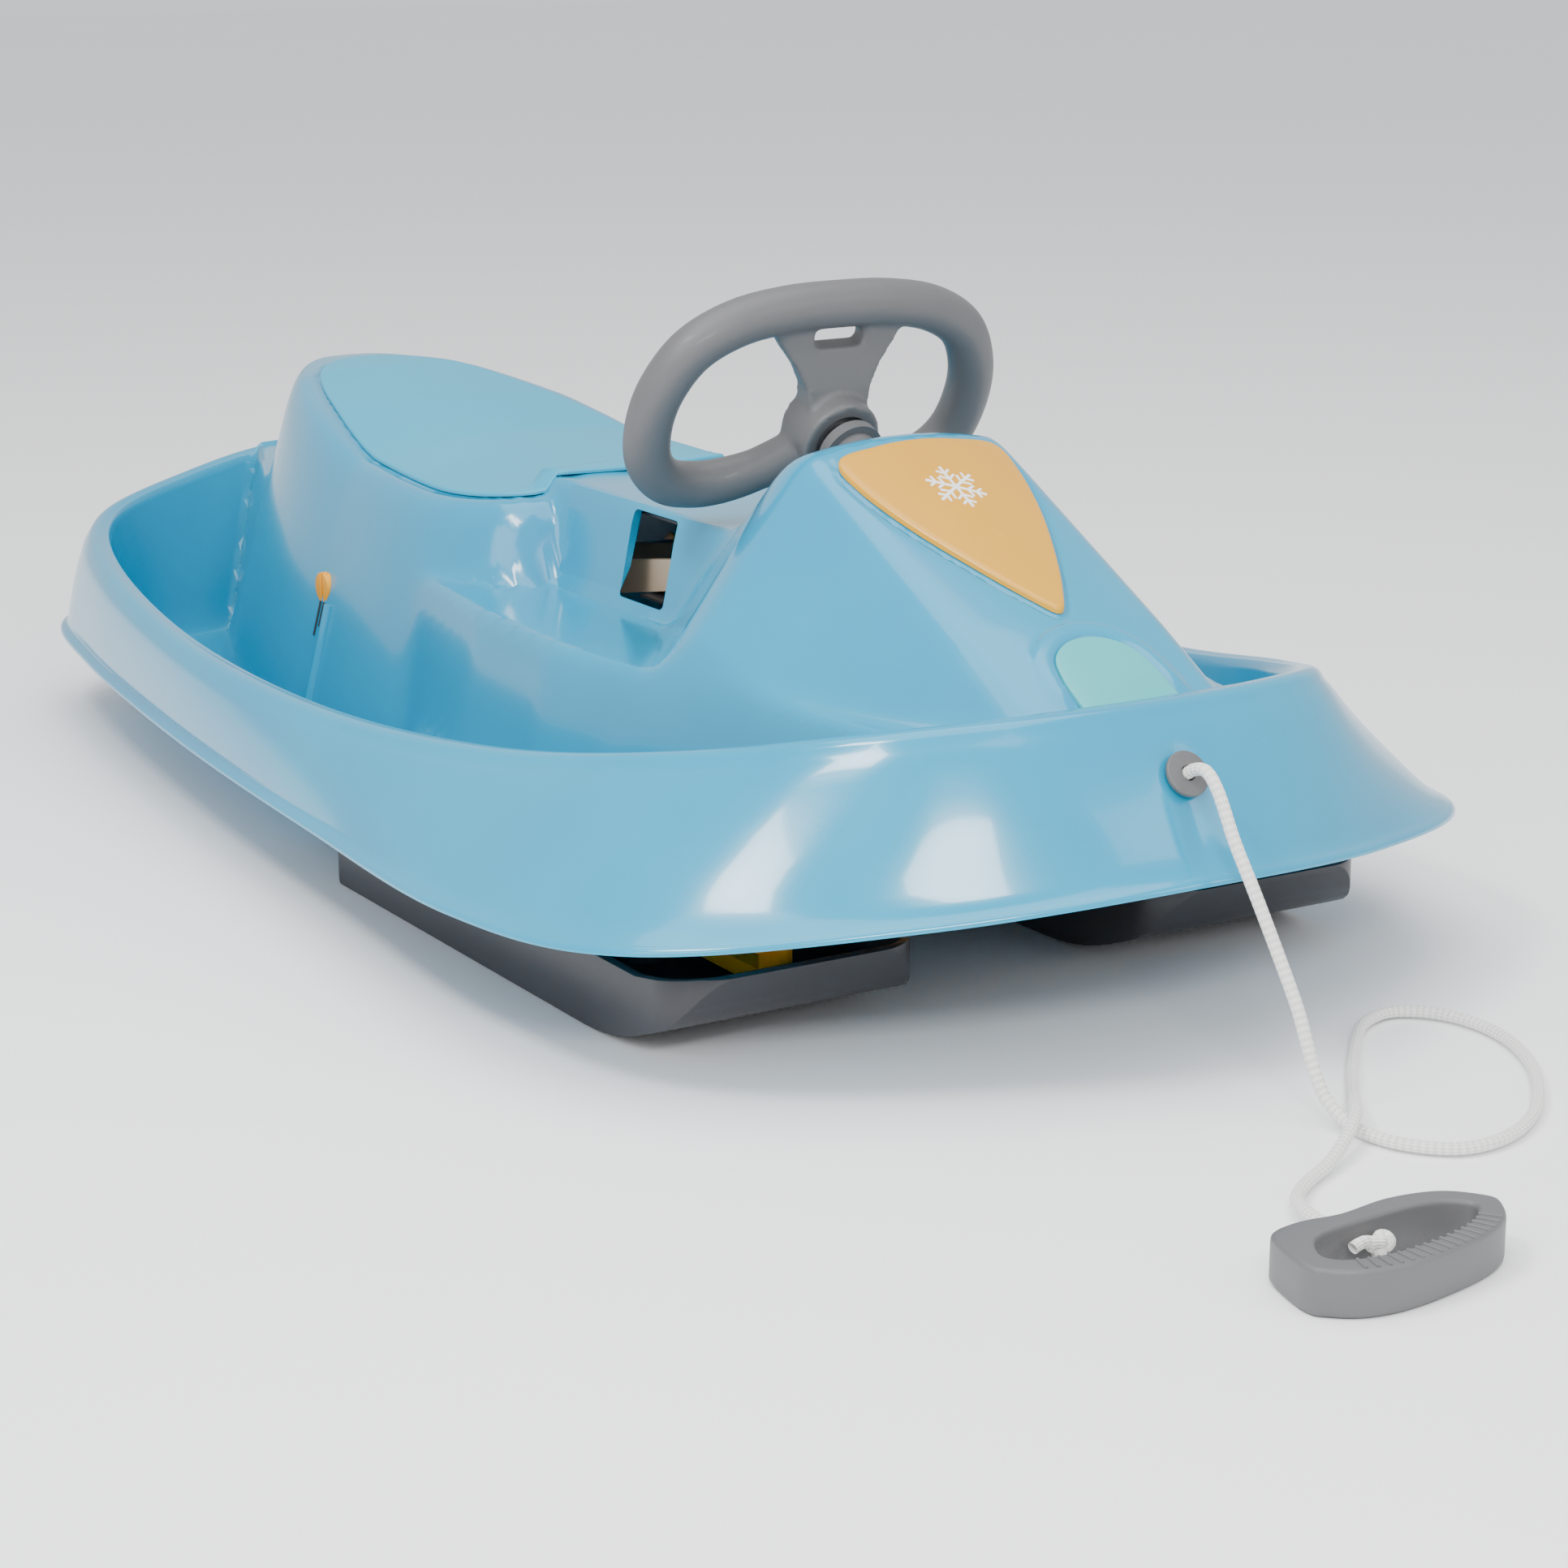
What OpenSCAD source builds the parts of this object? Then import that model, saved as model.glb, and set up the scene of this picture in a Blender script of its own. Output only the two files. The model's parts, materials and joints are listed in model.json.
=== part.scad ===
// Child's steerable snow sled: moulded hull, two steered front skis, hand brake and tow rope.
// +X is forward, +Y is the rider's left, +Z is up, and the ground is at z = 0.

/* [Hull] */
// Overall length of the hull between its bow and stern edges
hull_l = 1020; // [900:10:1150]
// Overall width of the hull across its lower edge
hull_w = 524; // [480:4:600]
// Wall thickness of the moulded hull
hull_t = 3.6; // [3:0.2:4.6]
// Height of the ledge that runs along both sides of the seat
ledge_z = 150; // [135:1:165]
// Height of the foot well floor behind the skis
floor_rear_z = 34; // [30:1:40]
// Height of the foot well floor above the skis
floor_front_z = 68; // [66:1:80]
// Width of the lip along the hull's lower edge
lip_w = 5; // [3:0.5:8]

/* [Seat] */
// Height of the seat's raised rear end
seat_rear_z = 222; // [205:1:240]
// Height of the seat's front end
seat_front_z = 198; // [185:1:210]
// Half width of the seat block
seat_half_w = 100; // [85:1:112]
// Thickness of the seat pad
pad_t = 5; // [4:0.5:8]

/* [Hood] */
// Height of the hood's highest point
hood_z = 262; // [250:1:280]
// Half width of the hood's top face
hood_half_w = 56; // [48:1:64]
// Thickness of the hood cover
cover_t = 4; // [3:0.5:6]

/* [Steering] */
// Angle of the steering column below the horizontal
column_tilt = 24; // [20:1:30]
// Diameter of the steering column
column_d = 16; // [14:0.5:20]
// Diameter of the steering wheel's rim
wheel_rim_d = 24; // [20:1:28]
// Half width of the steering wheel at its rim's centre
wheel_half_w = 100; // [85:1:115]
// Length of the pitman arm
pitman_l = 50; // [46:1:54]
// Length of the steering post's front arm
post_arm_l = 60; // [56:1:66]
// Diameter of the steering post
post_d = 14; // [12:0.5:16]
// Diameter of the kingpins
kingpin_d = 12; // [10:0.5:14]
// Radial running clearance of shafts in their bores
run_gap = 0.08; // [0.05:0.01:0.1]
// Side clearance of pins and forks that slide on each other
slide_gap = 0.6; // [0.5:0.05:0.8]

/* [Skis] */
// Length of a ski
ski_l = 385; // [350:5:400]
// Width of a ski across its side walls
ski_w = 136; // [120:2:146]
// Height of a ski's side walls
ski_h = 38; // [34:1:40]
// Height of a ski's upturned front
ski_tip_h = 45; // [42:1:46]
// Wall thickness of a ski
ski_t = 5; // [4:0.5:6]
// Distance of each ski's middle from the centre line
ski_y = 135; // [128:1:142]

/* [Brake] */
// Diameter of the brake's pivot rod
brake_rod_d = 10; // [8:0.5:12]
// Diameter of the brake's grip bar
brake_bar_d = 18; // [16:1:20]
// Width of the brake claw
claw_w = 60; // [50:1:70]

/* [Tow rope] */
// Diameter of the tow rope
rope_d = 6; // [5:0.5:7]
// Length of the tow handle
handle_l = 112; // [100:1:125]
// Width of the tow handle
handle_w = 58; // [52:1:64]
// Height of the tow handle as it lies
handle_h = 20; // [18:1:24]

/* [Hidden] */

// The plan knots below are drawn for a hull of this length and width
drawn_l = 1020;
drawn_w = 524;
kx = hull_l / drawn_l;
ky = hull_w / drawn_w;

// Half outline of the skirt's lower edge, bow to stern
skirt_knots = [for (p = [[510, 0, 95], [474, 125, 84], [397, 236, 70], [274, 262, 61], [85, 250, 56],
    [-127, 233, 54], [-338, 206, 54], [-465, 172, 53], [-502, 95, 51], [-510, 0, 50]])
    [p.x * kx, p.y * ky, p.z]];
// Half outline of the rim's inner edge, bow to stern
rim_knots = [for (p = [[455, 0, 168], [427, 110, 163], [332, 176, 141], [208, 207, 120], [47, 223, 108],
    [-141, 219, 107], [-327, 192, 115], [-445, 150, 124], [-489, 85, 136], [-504, 0, 149]])
    [p.x * kx, p.y * ky, p.z]];
steps = 4;

function closed(half) = concat(half, [for (i = [len(half) - 2:-1:1]) [half[i].x, -half[i].y, half[i].z]]);
function wrap(list, i) = list[(i + 2 * len(list)) % len(list)];
function catmull(a, b, c, d, t) = ((2 * b) + (c - a) * t + (2 * a - 5 * b + 4 * c - d) * t * t
    + (3 * b - a - 3 * c + d) * t * t * t) / 2;
function smooth_loop(knots, n) = [for (i = [0:len(knots) - 1], k = [0:n - 1])
    catmull(wrap(knots, i - 1), knots[i], wrap(knots, i + 1), wrap(knots, i + 2), k / n)];
function smooth_line(knots, n) = concat([for (i = [0:len(knots) - 2], k = [0:n - 1])
    catmull(knots[max(i - 1, 0)], knots[i], knots[i + 1], knots[min(i + 2, len(knots) - 1)], k / n)],
    [knots[len(knots) - 1]]);
function smax(a, b, k) = max(a, b) + pow(max(k - abs(a - b), 0), 2) / (4 * k);
function smin(a, b, k) = -smax(-a, -b, k);
function ramp(x, lo, hi) = let (t = min(max((x - lo) / (hi - lo), 0), 1)) t * t * (3 - 2 * t);
function unit(v) = v / max(norm(v), 1e-6);

skirt_line = smooth_loop(closed(skirt_knots), steps);
rim_line = smooth_loop(closed(rim_knots), steps);
stations = len(rim_line);

// Centre body: ledge, seat block, column bridge and hood, as heights over the plan
ledge_half = [[-520, 16], [-453, 42], [-400, 62], [-363, 74], [-253, 93], [-106, 112], [49, 134], [139, 139],
    [185, 134], [260, 124], [340, 110], [430, 88], [520, 70]];
hood_line = [[96, 120], [130, 158], [165, 196], [200, 226], [232, hood_z - 7], [252, hood_z], [275, hood_z - 11],
    [390, 194], [452, 160], [480, 140], [520, 110]];
seat_top_line = [[-450, seat_rear_z - 8], [-400, seat_rear_z], [-340, seat_rear_z - 1],
    [-260, (seat_rear_z + seat_front_z) / 2 + 2], [-180, seat_front_z + 1], [-80, seat_front_z - 1],
    [0, seat_front_z], [60, seat_front_z]];
wall_slope = 5;
side_gap = 1.2;
seat_x = [-410, 6];
seat_round = [2.1, 4];
bridge_top = seat_front_z + 7;
bridge_half_w = 56;
bridge_x = [-30, 200];

function ledge_w(x) = lookup(x / kx, ledge_half) * ky;
function seat_top(x, y) = lookup(x / kx, seat_top_line) - 7 * pow(y / seat_half_w, 2);
function seat_half(x) = seat_half_w + 0.1 * (x / kx + 190);
function seat_edge(x, y) = let (mid = (seat_x[0] + seat_x[1]) * kx / 2, hx = (seat_x[1] - seat_x[0]) * kx / 2,
    n = seat_round[x > mid ? 1 : 0], hy = seat_half(x), u = abs(x - mid) / hx, v = abs(y) / hy,
    q = pow(pow(u, n) + pow(v, n), 1 / n) + 1e-6, gx = pow(u / q, n - 1) / hx, gy = pow(v / q, n - 1) / hy)
    (1 - q) / norm([gx, gy]);
function ledge_height(x, y) = smin(ledge_z, ledge_z + wall_slope * (ledge_w(x) - abs(y)), 16);
function seat_height(x, y) = smin(seat_top(x, y), seat_top(x, y) + 3.6 * (seat_edge(x, y)), 26);
function bridge_height(x, y) = smin(bridge_top, bridge_top + wall_slope
    * min(bridge_half_w - abs(y), x - bridge_x[0] * kx, bridge_x[1] * kx - x), 16);
function hood_height(x, y) = let (top = lookup(x / kx, hood_line))
    smin(smin(top - 6 * pow(y / hood_half_w, 2), top - 6 - 1.35 * (abs(y) - hood_half_w), 10),
    ledge_z + wall_slope * (ledge_w(x) - abs(y)), 20);
function body_height(x, y) = smax(smax(ledge_height(x, y), seat_height(x, y), 14),
    smax(bridge_height(x, y), hood_height(x, y), 14), 14);
function floor_at(p) = let (d = min([for (r = rim_line) norm([p.x - r.x, p.y - r.y])]))
    deck_height(p.x, p.y, d, rim_knots[4].z) + 2.4;
function floor_height(x) = floor_rear_z + (floor_front_z - floor_rear_z) * ramp(x / kx, -70, -12);
function deck_height(x, y, d, rim_z) = smax(smax(rim_z - 1 - wall_slope * max(d - 3, 0), floor_height(x), 26),
    body_height(x, y), 12);

// Rings of the hull's outer surface, from the lip to the centre line
skirt_steps = [[0, lip_w, 0], [0, lip_w - 1, 2.5], [0, 0.5, 4], [0.3, 2.5, 0], [0.62, 3, 0], [0.9, 2, 0]];
crest = [[11, -5], [8, -1.2], [4, 0], [0.8, -0.6]];
inner_steps = [0.03, 0.07, 0.11, 0.15, 0.2, 0.27, 0.34, 0.4, 0.45, 0.5, 0.55, 0.6, 0.66, 0.73, 0.8, 0.87, 0.94, 1];
centre_share = 0.8;

function outward(i) = let (a = wrap(skirt_line, i - 1), b = wrap(skirt_line, i + 1), t = unit([b.x - a.x, b.y - a.y]))
    [-t.y, t.x, 0] * (t.x * skirt_line[i].y - t.y * skirt_line[i].x > 0 ? 1 : -1);
function skirt_point(i, s) = let (f = skirt_line[i], r = rim_line[i] + 11 * outward(i) - [0, 0, 5])
    f + (r - f) * s[0] + s[1] * outward(i) + [0, 0, s[2]];
function crest_point(i, c) = rim_line[i] + c[0] * outward(i) + [0, 0, c[1]];
function deck_point(i, s) = let (r = rim_line[i], m = [r.x * centre_share, 0], x = r.x + (m.x - r.x) * s,
    y = r.y * (1 - s), d = norm([x - r.x, y - r.y])) [x, y, deck_height(x, y, d, r.z)];
ring_count = len(skirt_steps) + len(crest) + len(inner_steps);
skin = [for (i = [0:stations - 1]) concat([for (s = skirt_steps) skirt_point(i, s)],
    [for (c = crest) crest_point(i, c)], [for (s = inner_steps) deck_point(i, s)])];
function skin_normal(i, k) = let (a = skin[(i + 1) % stations][k], b = skin[(i + stations - 1) % stations][k],
    mirror_i = (stations - i) % stations,
    c = k < ring_count - 1 ? skin[i][k + 1] : [for (q = [skin[mirror_i][k - 1]]) q][0],
    e = skin[i][max(k - 1, 0)], n = cross(a - b, c - e)) unit(n.z < 0 && k > 9 ? -n : n);
function inner_point(i, k) = let (n = k == ring_count - 1 ? [0, 0, 1] : skin_normal(i, k), p = skin[i][k] - hull_t * n)
    k == 0 ? skin[i][k] - [hull_t * outward(i).x, hull_t * outward(i).y, 0]
    : [p.x, k == ring_count - 1 ? 0 : p.y, p.z];
function slot_of(i, k) = let (s = (i + stations) % stations, half = stations / 2)
    k == ring_count - 1 && s > half ? [stations - s, k] : [s, k];
function index(i, k, layer) = let (q = slot_of(i, k)) layer * stations * ring_count + q[0] * ring_count + q[1];
hull_points = concat([for (i = [0:stations - 1], k = [0:ring_count - 1]) skin[i][k]],
    [for (i = [0:stations - 1], k = [0:ring_count - 1]) inner_point(i, k)]);
hull_faces = concat(
    [for (i = [0:stations - 1], k = [0:ring_count - 2])
        [index(i, k, 0), index(i, k + 1, 0), index(i + 1, k + 1, 0)]],
    [for (i = [0:stations - 1], k = [0:ring_count - 2])
        [index(i, k, 0), index(i + 1, k + 1, 0), index(i + 1, k, 0)]],
    [for (i = [0:stations - 1], k = [0:ring_count - 2])
        [index(i + 1, k + 1, 1), index(i, k + 1, 1), index(i, k, 1)]],
    [for (i = [0:stations - 1], k = [0:ring_count - 2])
        [index(i + 1, k, 1), index(i + 1, k + 1, 1), index(i, k, 1)]],
    [for (i = [0:stations - 1]) [index(i, 0, 0), index(i + 1, 0, 0), index(i + 1, 0, 1)]],
    [for (i = [0:stations - 1]) [index(i, 0, 0), index(i + 1, 0, 1), index(i, 0, 1)]]);

// Places that more than one piece uses
hub = [167, 0, 262];
drive = [cos(column_tilt), 0, -sin(column_tilt)];
wheel_up = [sin(column_tilt), 0, cos(column_tilt)];
column_s = [2, 118];
sleeve_s = [46, 94];
collar_s = [38, 44];
pitman_s = [98, 112];
sleeve_r = 13;
pitman_point = hub + drive * (pitman_s[0] + pitman_s[1]) / 2;
pitman_tip = pitman_point - wheel_up * pitman_l;
pitman_ball_r = 6;
post_x = pitman_tip.x + pitman_l;
tie_x = post_x + post_arm_l;
frame_z = [59, 64];
frame_tube_z = 148;
fork_z = [frame_tube_z + 0.4, pitman_tip.z + 14];
tie_z = [46.5, 51.5];
post_arm_z = [52.5, 57.5];
tie_pin_r = 5;
tie_w = 20;
ski_pivot_x = 220;
boss_r = 17;
boss_z = 56;
brake_pivot = [-180, 0, 120];
brake_bar = [102, 0, 168];
window_x = [80, 126];
window_z = [156, 202];
grommet = [484, 0, 138];
grommet_tilt = 57;
drum_at = [400, 0, 138];
drum_r = 24;
drum_w = 36;

module on_column(s) translate(hub + drive * s) rotate([0, 90 + column_tilt, 0]) children();
module both_sides() { children(); mirror([0, 1, 0]) children(); }
module rod_y(r, y0, y1, sides = 48) translate([0, y0, 0]) rotate([-90, 0, 0]) cylinder(r = r, h = y1 - y0, $fn = sides);

// A tube of rings carried along a line of points
function tangent(path, i) = unit(path[min(i + 1, len(path) - 1)] - path[max(i - 1, 0)]);
function carry(path, n, i, out) = i >= len(path) ? out
    : let (t = tangent(path, i), m = unit(n - (n * t) * t)) carry(path, m, i + 1, concat(out, [m]));
module tube(path, radii, sides, start = [0, 0, 1], flat = 1) {
    normals = carry(path, start, 0, []);
    last = len(path) - 1;
    points = [for (i = [0:last], k = [0:sides - 1]) let (b = cross(tangent(path, i), normals[i]), a = 360 * k / sides)
        path[i] + radii[i] * (cos(a) * normals[i] * flat + sin(a) * b)];
    faces = concat([for (i = [0:last - 1], k = [0:sides - 1]) let (n = (k + 1) % sides)
        [i * sides + n, i * sides + k, (i + 1) * sides + k, (i + 1) * sides + n]],
        [[for (k = [0:sides - 1]) k]], [[for (k = [sides - 1:-1:0]) last * sides + k]]);
    polyhedron(points, faces);
}

module hull_shell() {
    color("deepskyblue") difference() {
        polyhedron(hull_points, hull_faces);
        on_column(sleeve_s[0] - 16) cylinder(r = sleeve_r + 0.5, h = 46, $fn = 40);
        both_sides() translate([window_x[0], bridge_half_w - 12, window_z[0]])
            cube([window_x[1] - window_x[0], 26, window_z[1] - window_z[0]]);
        translate(brake_pivot) rod_y(brake_rod_d / 2 + 0.6, -160, 160, 24);
        both_sides() for (x = frame_screw_x) screw_hole([x, frame_screw_y], frame_z[1] - 2);
        both_sides() for (t = runner_screw_t) screw_hole(runner_at(t), floor_rear_z - 14);
        both_sides() translate(brake_pivot) rod_y(pin_r + 0.6, pin_seat, pin_seat + 14, 40);
        translate(grommet) rotate([0, grommet_tilt, 0]) translate([0, 0, -22]) cylinder(r = grommet_r + 0.4, h = 34, $fn = 24);
    }
}

// Hole for a pan screw, with a flat seat for its head
module screw_hole(p, low) {
    translate([p.x, p.y, low]) cylinder(r = screw_r + 0.4, h = floor_at(p) + 1 - low, $fn = 16);
    translate([p.x, p.y, floor_at(p)]) cylinder(r = screw_head_r + 0.6, h = 12, $fn = 32);
}

// Shield of the seat pad, laid over the seat block
pad_outline = [[-376, 0], [-366, 27], [-332, 51], [-270, 70], [-190, 86], [-100, 94], [-50, 90], [-20, 70], [-8, 35],
    [-4, 0]];
function loop_of(half) = concat(half, [for (i = [len(half) - 2:-1:1]) [half[i].x, -half[i].y]]);
module sheet_on(outline, rings, mid, lift, t) {
    n = len(outline);
    m = rings + 1;
    surface = [for (i = [0:n - 1], k = [0:rings]) let (s = k / rings, x = outline[i].x + (mid - outline[i].x) * s * 0.9,
        y = outline[i].y * (1 - s)) [x, y, body_height(x, y) + lift]];
    points = concat([for (p = surface) p + [0, 0, t]], surface);
    function at(i, k, layer) = layer * n * m + (k == rings && i % n > n / 2 ? n - i % n : i % n) * m + k;
    faces = concat(
        [for (i = [0:n - 1], k = [0:rings - 1]) [at(i, k, 0), at(i + 1, k + 1, 0), at(i, k + 1, 0)]],
        [for (i = [0:n - 1], k = [0:rings - 1]) [at(i, k, 0), at(i + 1, k, 0), at(i + 1, k + 1, 0)]],
        [for (i = [0:n - 1], k = [0:rings - 1]) [at(i, k, 1), at(i, k + 1, 1), at(i + 1, k + 1, 1)]],
        [for (i = [0:n - 1], k = [0:rings - 1]) [at(i, k, 1), at(i + 1, k + 1, 1), at(i + 1, k, 1)]],
        [for (i = [0:n - 1]) [at(i, 0, 0), at(i + 1, 0, 1), at(i + 1, 0, 0)]],
        [for (i = [0:n - 1]) [at(i, 0, 0), at(i, 0, 1), at(i + 1, 0, 1)]]);
    polyhedron(points, faces);
}
pad_lift = 1.3;
cover_lift = 0.9;
panel_lift = 2.4;
module seat_pad() {
    color("lightskyblue") sheet_on(smooth_loop(loop_of([for (p = pad_outline) [p.x * kx, p.y * ky]]), 2), 7, -200,
        pad_lift, pad_t);
}
cover_outline = [[262, 0], [263, 24], [266, 46], [286, 47], [318, 38], [350, 24], [376, 10], [388, 0]];
module hood_cover() {
    color("gold") sheet_on(smooth_loop(loop_of([for (p = cover_outline) [p.x * kx, p.y * ky]]), 3), 5, 320,
        cover_lift, cover_t);
}
panel_outline = [[406, 0], [408, 12], [415, 22], [427, 26], [439, 26], [445, 0]];
module winder_cover() {
    color("mediumturquoise") sheet_on(smooth_loop(loop_of([for (p = panel_outline) [p.x * kx, p.y * ky]]), 3), 3, 425,
        panel_lift, cover_t);
}

grommet_r = 8;
module rope_grommet() {
    color("gray") translate(grommet) rotate([0, grommet_tilt, 0]) difference() {
        union() {
            translate([0, 0, 2.2]) cylinder(r = grommet_r + 3, h = 2.6, $fn = 32);
            translate([0, 0, -10]) cylinder(r = grommet_r, h = 13, $fn = 32);
        }
        translate([0, 0, -14]) cylinder(r = rope_d / 2 + 0.5, h = 24, $fn = 32);
    }
}

// Rear runners screwed under the foot wells
runner_w = 34;
runner_ends = [[-430, 131], [-60, 157]];
screw_r = 2.5;
screw_head_r = 5;
runner_screw_t = [0.2, 0.5, 0.8];
function runner_at(t) = runner_ends[0] * (1 - t) + runner_ends[1] * t;
module runner() {
    run = runner_ends[1] - runner_ends[0];
    length = norm(run);
    rise = floor_rear_z - hull_t - 0.8;
    translate([runner_ends[0].x, runner_ends[0].y, 0]) rotate([0, 0, atan2(run.y, run.x)]) difference() {
        translate([0, runner_w / 2, 0]) rotate([90, 0, 0]) linear_extrude(runner_w)
            polygon([[0, rise], [0, rise - 6], [14, 8], [34, 0], [length - 30, 0], [length - 8, 6], [length, 14],
                [length, rise]]);
        for (t = runner_screw_t) translate([t * length, 0, rise - 12]) cylinder(r = screw_r - 0.02, h = 20, $fn = 24);
    }
}
module rear_runner_left() { color("deepskyblue") runner(); }
module rear_runner_right() { color("deepskyblue") mirror([0, 1, 0]) runner(); }
module pan_screw(top, h) {
    translate([0, 0, top - h]) cylinder(r = screw_r - 0.02, h = h, $fn = 24);
    translate([0, 0, top]) difference() {
        cylinder(r = screw_head_r, h = 2.6, $fn = 32);
        translate([-1, -6, 1.4]) cube([2, 12, 3]);
    }
}
module runner_screws() {
    color("silver") both_sides() for (t = runner_screw_t) translate([runner_at(t).x, runner_at(t).y, 0])
        pan_screw(floor_at(runner_at(t)), 14);
}

// Rope winder inside the bow
frame_leg_t = 4;
drum_seat_z = body_height(drum_at.x + 16, drum_w / 2 + 6) - 1.35 * hull_t;
module winder_frame() {
    color("dimgray") difference() {
        union() {
            both_sides() translate([drum_at.x - 16, drum_w / 2 + 2, drum_at.z - drum_r - 8])
                cube([32, frame_leg_t, drum_seat_z - drum_at.z + drum_r + 8]);
            translate([drum_at.x - 16, -drum_w / 2 - 2.5, drum_at.z - drum_r - 8]) cube([32, drum_w + 5, frame_leg_t]);
        }
        translate(drum_at) rod_y(5 + run_gap, -40, 40);
    }
}
module winder_drum() {
    color("black") translate(drum_at) difference() {
        union() {
            rod_y(drum_r - 8, -drum_w / 2 + 1, drum_w / 2 - 1, 64);
            both_sides() rod_y(drum_r, drum_w / 2 - 3, drum_w / 2 - 1, 64);
        }
        rod_y(5, -40, 40);
        rod_y(drum_r - 12, drum_w / 2 - 12, drum_w / 2);
    }
}
module winder_axle() {
    color("silver") translate(drum_at) {
        rod_y(5, -drum_w / 2 - 7, drum_w / 2 + 7);
        rod_y(7, drum_w / 2 + 7, drum_w / 2 + 9);
        rod_y(7, -drum_w / 2 - 9, -drum_w / 2 - 7);
    }
}
module winder_spring() {
    color("slategray") translate(drum_at) for (k = [0:3]) difference() {
        rod_y(6.6 + k * 1.4, drum_w / 2 - 11, drum_w / 2 - 4);
        rod_y(6 + k * 1.4, drum_w / 2 - 12, drum_w / 2 - 3);
    }
}

// Steering wheel: across, up the wheel and along the column for each point
wheel_half = [[14, -12, 16], [30, -27, 9], [48, -38, 3], [66, -41, 0], [84, -36, 0], [97, -20, 0], [101, 2, 0], [97, 24, 0],
    [84, 45, 0], [60, 59, 0], [30, 64.5, 0], [0, 65.5, 0]];
function on_wheel(p) = hub + [0, p.x * wheel_half_w / 101, 0] + wheel_up * p.y + drive * p.z;
function mirrored(path) = concat(path, [for (i = [len(path) - 2:-1:0]) [-path[i].x, path[i].y, path[i].z]]);
hub_r = 21;
module steering_wheel() {
    rim = smooth_line(mirrored(wheel_half), 2);
    spoke = smooth_line([[11, 10, 16], [20, 28, 10], [31, 46, 3], [37, 60, 0]], 2);
    color("gray") difference() {
        union() {
            tube([for (p = rim) on_wheel(p)], [for (p = rim) wheel_rim_d / 2 - min(p.z, 12) * 0.15], 12, drive);
            for (side = [-1, 1]) tube([for (p = spoke) on_wheel([side * p.x, p.y, p.z])], [for (p = spoke) 9], 10, drive, 0.7);
            on_column(6) cylinder(r = hub_r + 5, h = 20, $fn = 40);
        }
        on_column(4) cylinder(r = hub_r - 5, h = 24, $fn = 40);
    }
}
module wheel_hub() {
    color("dimgray") difference() {
        on_column(5) cylinder(r = hub_r - 5.3, h = 22, $fn = 64);
        on_column(column_s[0] + 7) cylinder(r = column_d / 2 + 0.03, h = 40, $fn = 64);
        on_column(0) cylinder(r = 2.53, h = 20, $fn = 32);
    }
}
module wheel_screw() {
    color("silver") {
        on_column(5.1) cylinder(r = 2.5, h = 14, $fn = 32);
        on_column(2.6) cylinder(r = 5, h = 2.3, $fn = 32);
        on_column(4.8) cylinder(r = 2.5, h = 1, $fn = 32);
    }
}
clip_s = [pitman_s[1] + 0.5, pitman_s[1] + 2.1];
module steering_column() {
    color("silver") difference() {
        on_column(column_s[0] + 7.1) cylinder(d = column_d, h = column_s[1] - column_s[0] - 7, $fn = 64);
        on_column(clip_s[0] - 0.2) difference() {
            cylinder(r = column_d, h = 2, $fn = 48);
            translate([0, 0, -1]) cylinder(d = column_d - 3, h = 4, $fn = 48);
        }
        on_column(0) cylinder(r = 2.55, h = 20, $fn = 32);
    }
}
module column_sleeve() {
    color("dimgray") difference() {
        union() {
            on_column(sleeve_s[0] - 3) cylinder(r = sleeve_r, h = sleeve_s[1] - sleeve_s[0] + 3, $fn = 64);
            on_column(collar_s[0]) cylinder(r = sleeve_r + 4, h = collar_s[1] - collar_s[0], $fn = 64);
        }
        on_column(sleeve_s[0] - 20) cylinder(r = column_d / 2 + run_gap, h = 80, $fn = 64);
    }
}
module column_clip() {
    color("silver") on_column(clip_s[0]) difference() {
        cylinder(r = column_d / 2 + 4, h = clip_s[1] - clip_s[0], $fn = 48);
        translate([0, 0, -1]) cylinder(d = column_d - 2.8, h = 4, $fn = 48);
        translate([0, -column_d / 4, -1]) cube([column_d, column_d / 2, 4]);
    }
}
module pitman_arm() {
    color("gold") difference() {
        union() {
            on_column(pitman_s[0]) cylinder(r = 14, h = pitman_s[1] - pitman_s[0], $fn = 64);
            on_column(pitman_s[0] + 3) translate([0, -4, 0]) cube([pitman_l, 8, 8]);
            translate(pitman_tip) sphere(r = pitman_ball_r, $fn = 48);
        }
        on_column(pitman_s[0] - 4) cylinder(r = column_d / 2 + 0.03, h = 30, $fn = 64);
    }
}

// Steering frame, post, tie rod and skis below the hood
frame_screw_x = [206, 236];
frame_screw_y = 166;
kingpin_head_r = 9;
module steering_frame() {
    color("dimgray") difference() {
        union() {
            translate([0, 0, frame_z[0]]) linear_extrude(frame_z[1] - frame_z[0]) polygon([[196, -176], [246, -176],
                [264, -60], [post_x + 18, -40], [post_x + 18, 40], [264, 60], [246, 176], [196, 176]]);
            translate([post_x, 0, frame_z[0]]) cylinder(r = post_d / 2 + 6, h = frame_tube_z - frame_z[0], $fn = 48);
            translate([post_x - 60, -2, frame_z[0]]) cube([60, 4, 40]);
        }
        translate([post_x, 0, 40]) cylinder(r = post_d / 2 + run_gap, h = 140, $fn = 48);
        both_sides() translate([ski_pivot_x, ski_y, 50]) cylinder(r = kingpin_d / 2 + 0.03, h = 20, $fn = 48);
        both_sides() for (x = frame_screw_x) translate([x, frame_screw_y, 50]) cylinder(r = screw_r, h = 20, $fn = 24);
    }
}
module frame_screws() {
    color("silver") both_sides() for (x = frame_screw_x) translate([x, frame_screw_y, 0])
        pan_screw(floor_at([x, frame_screw_y]), floor_at([x, frame_screw_y]) - frame_z[0] - 1);
}
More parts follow.
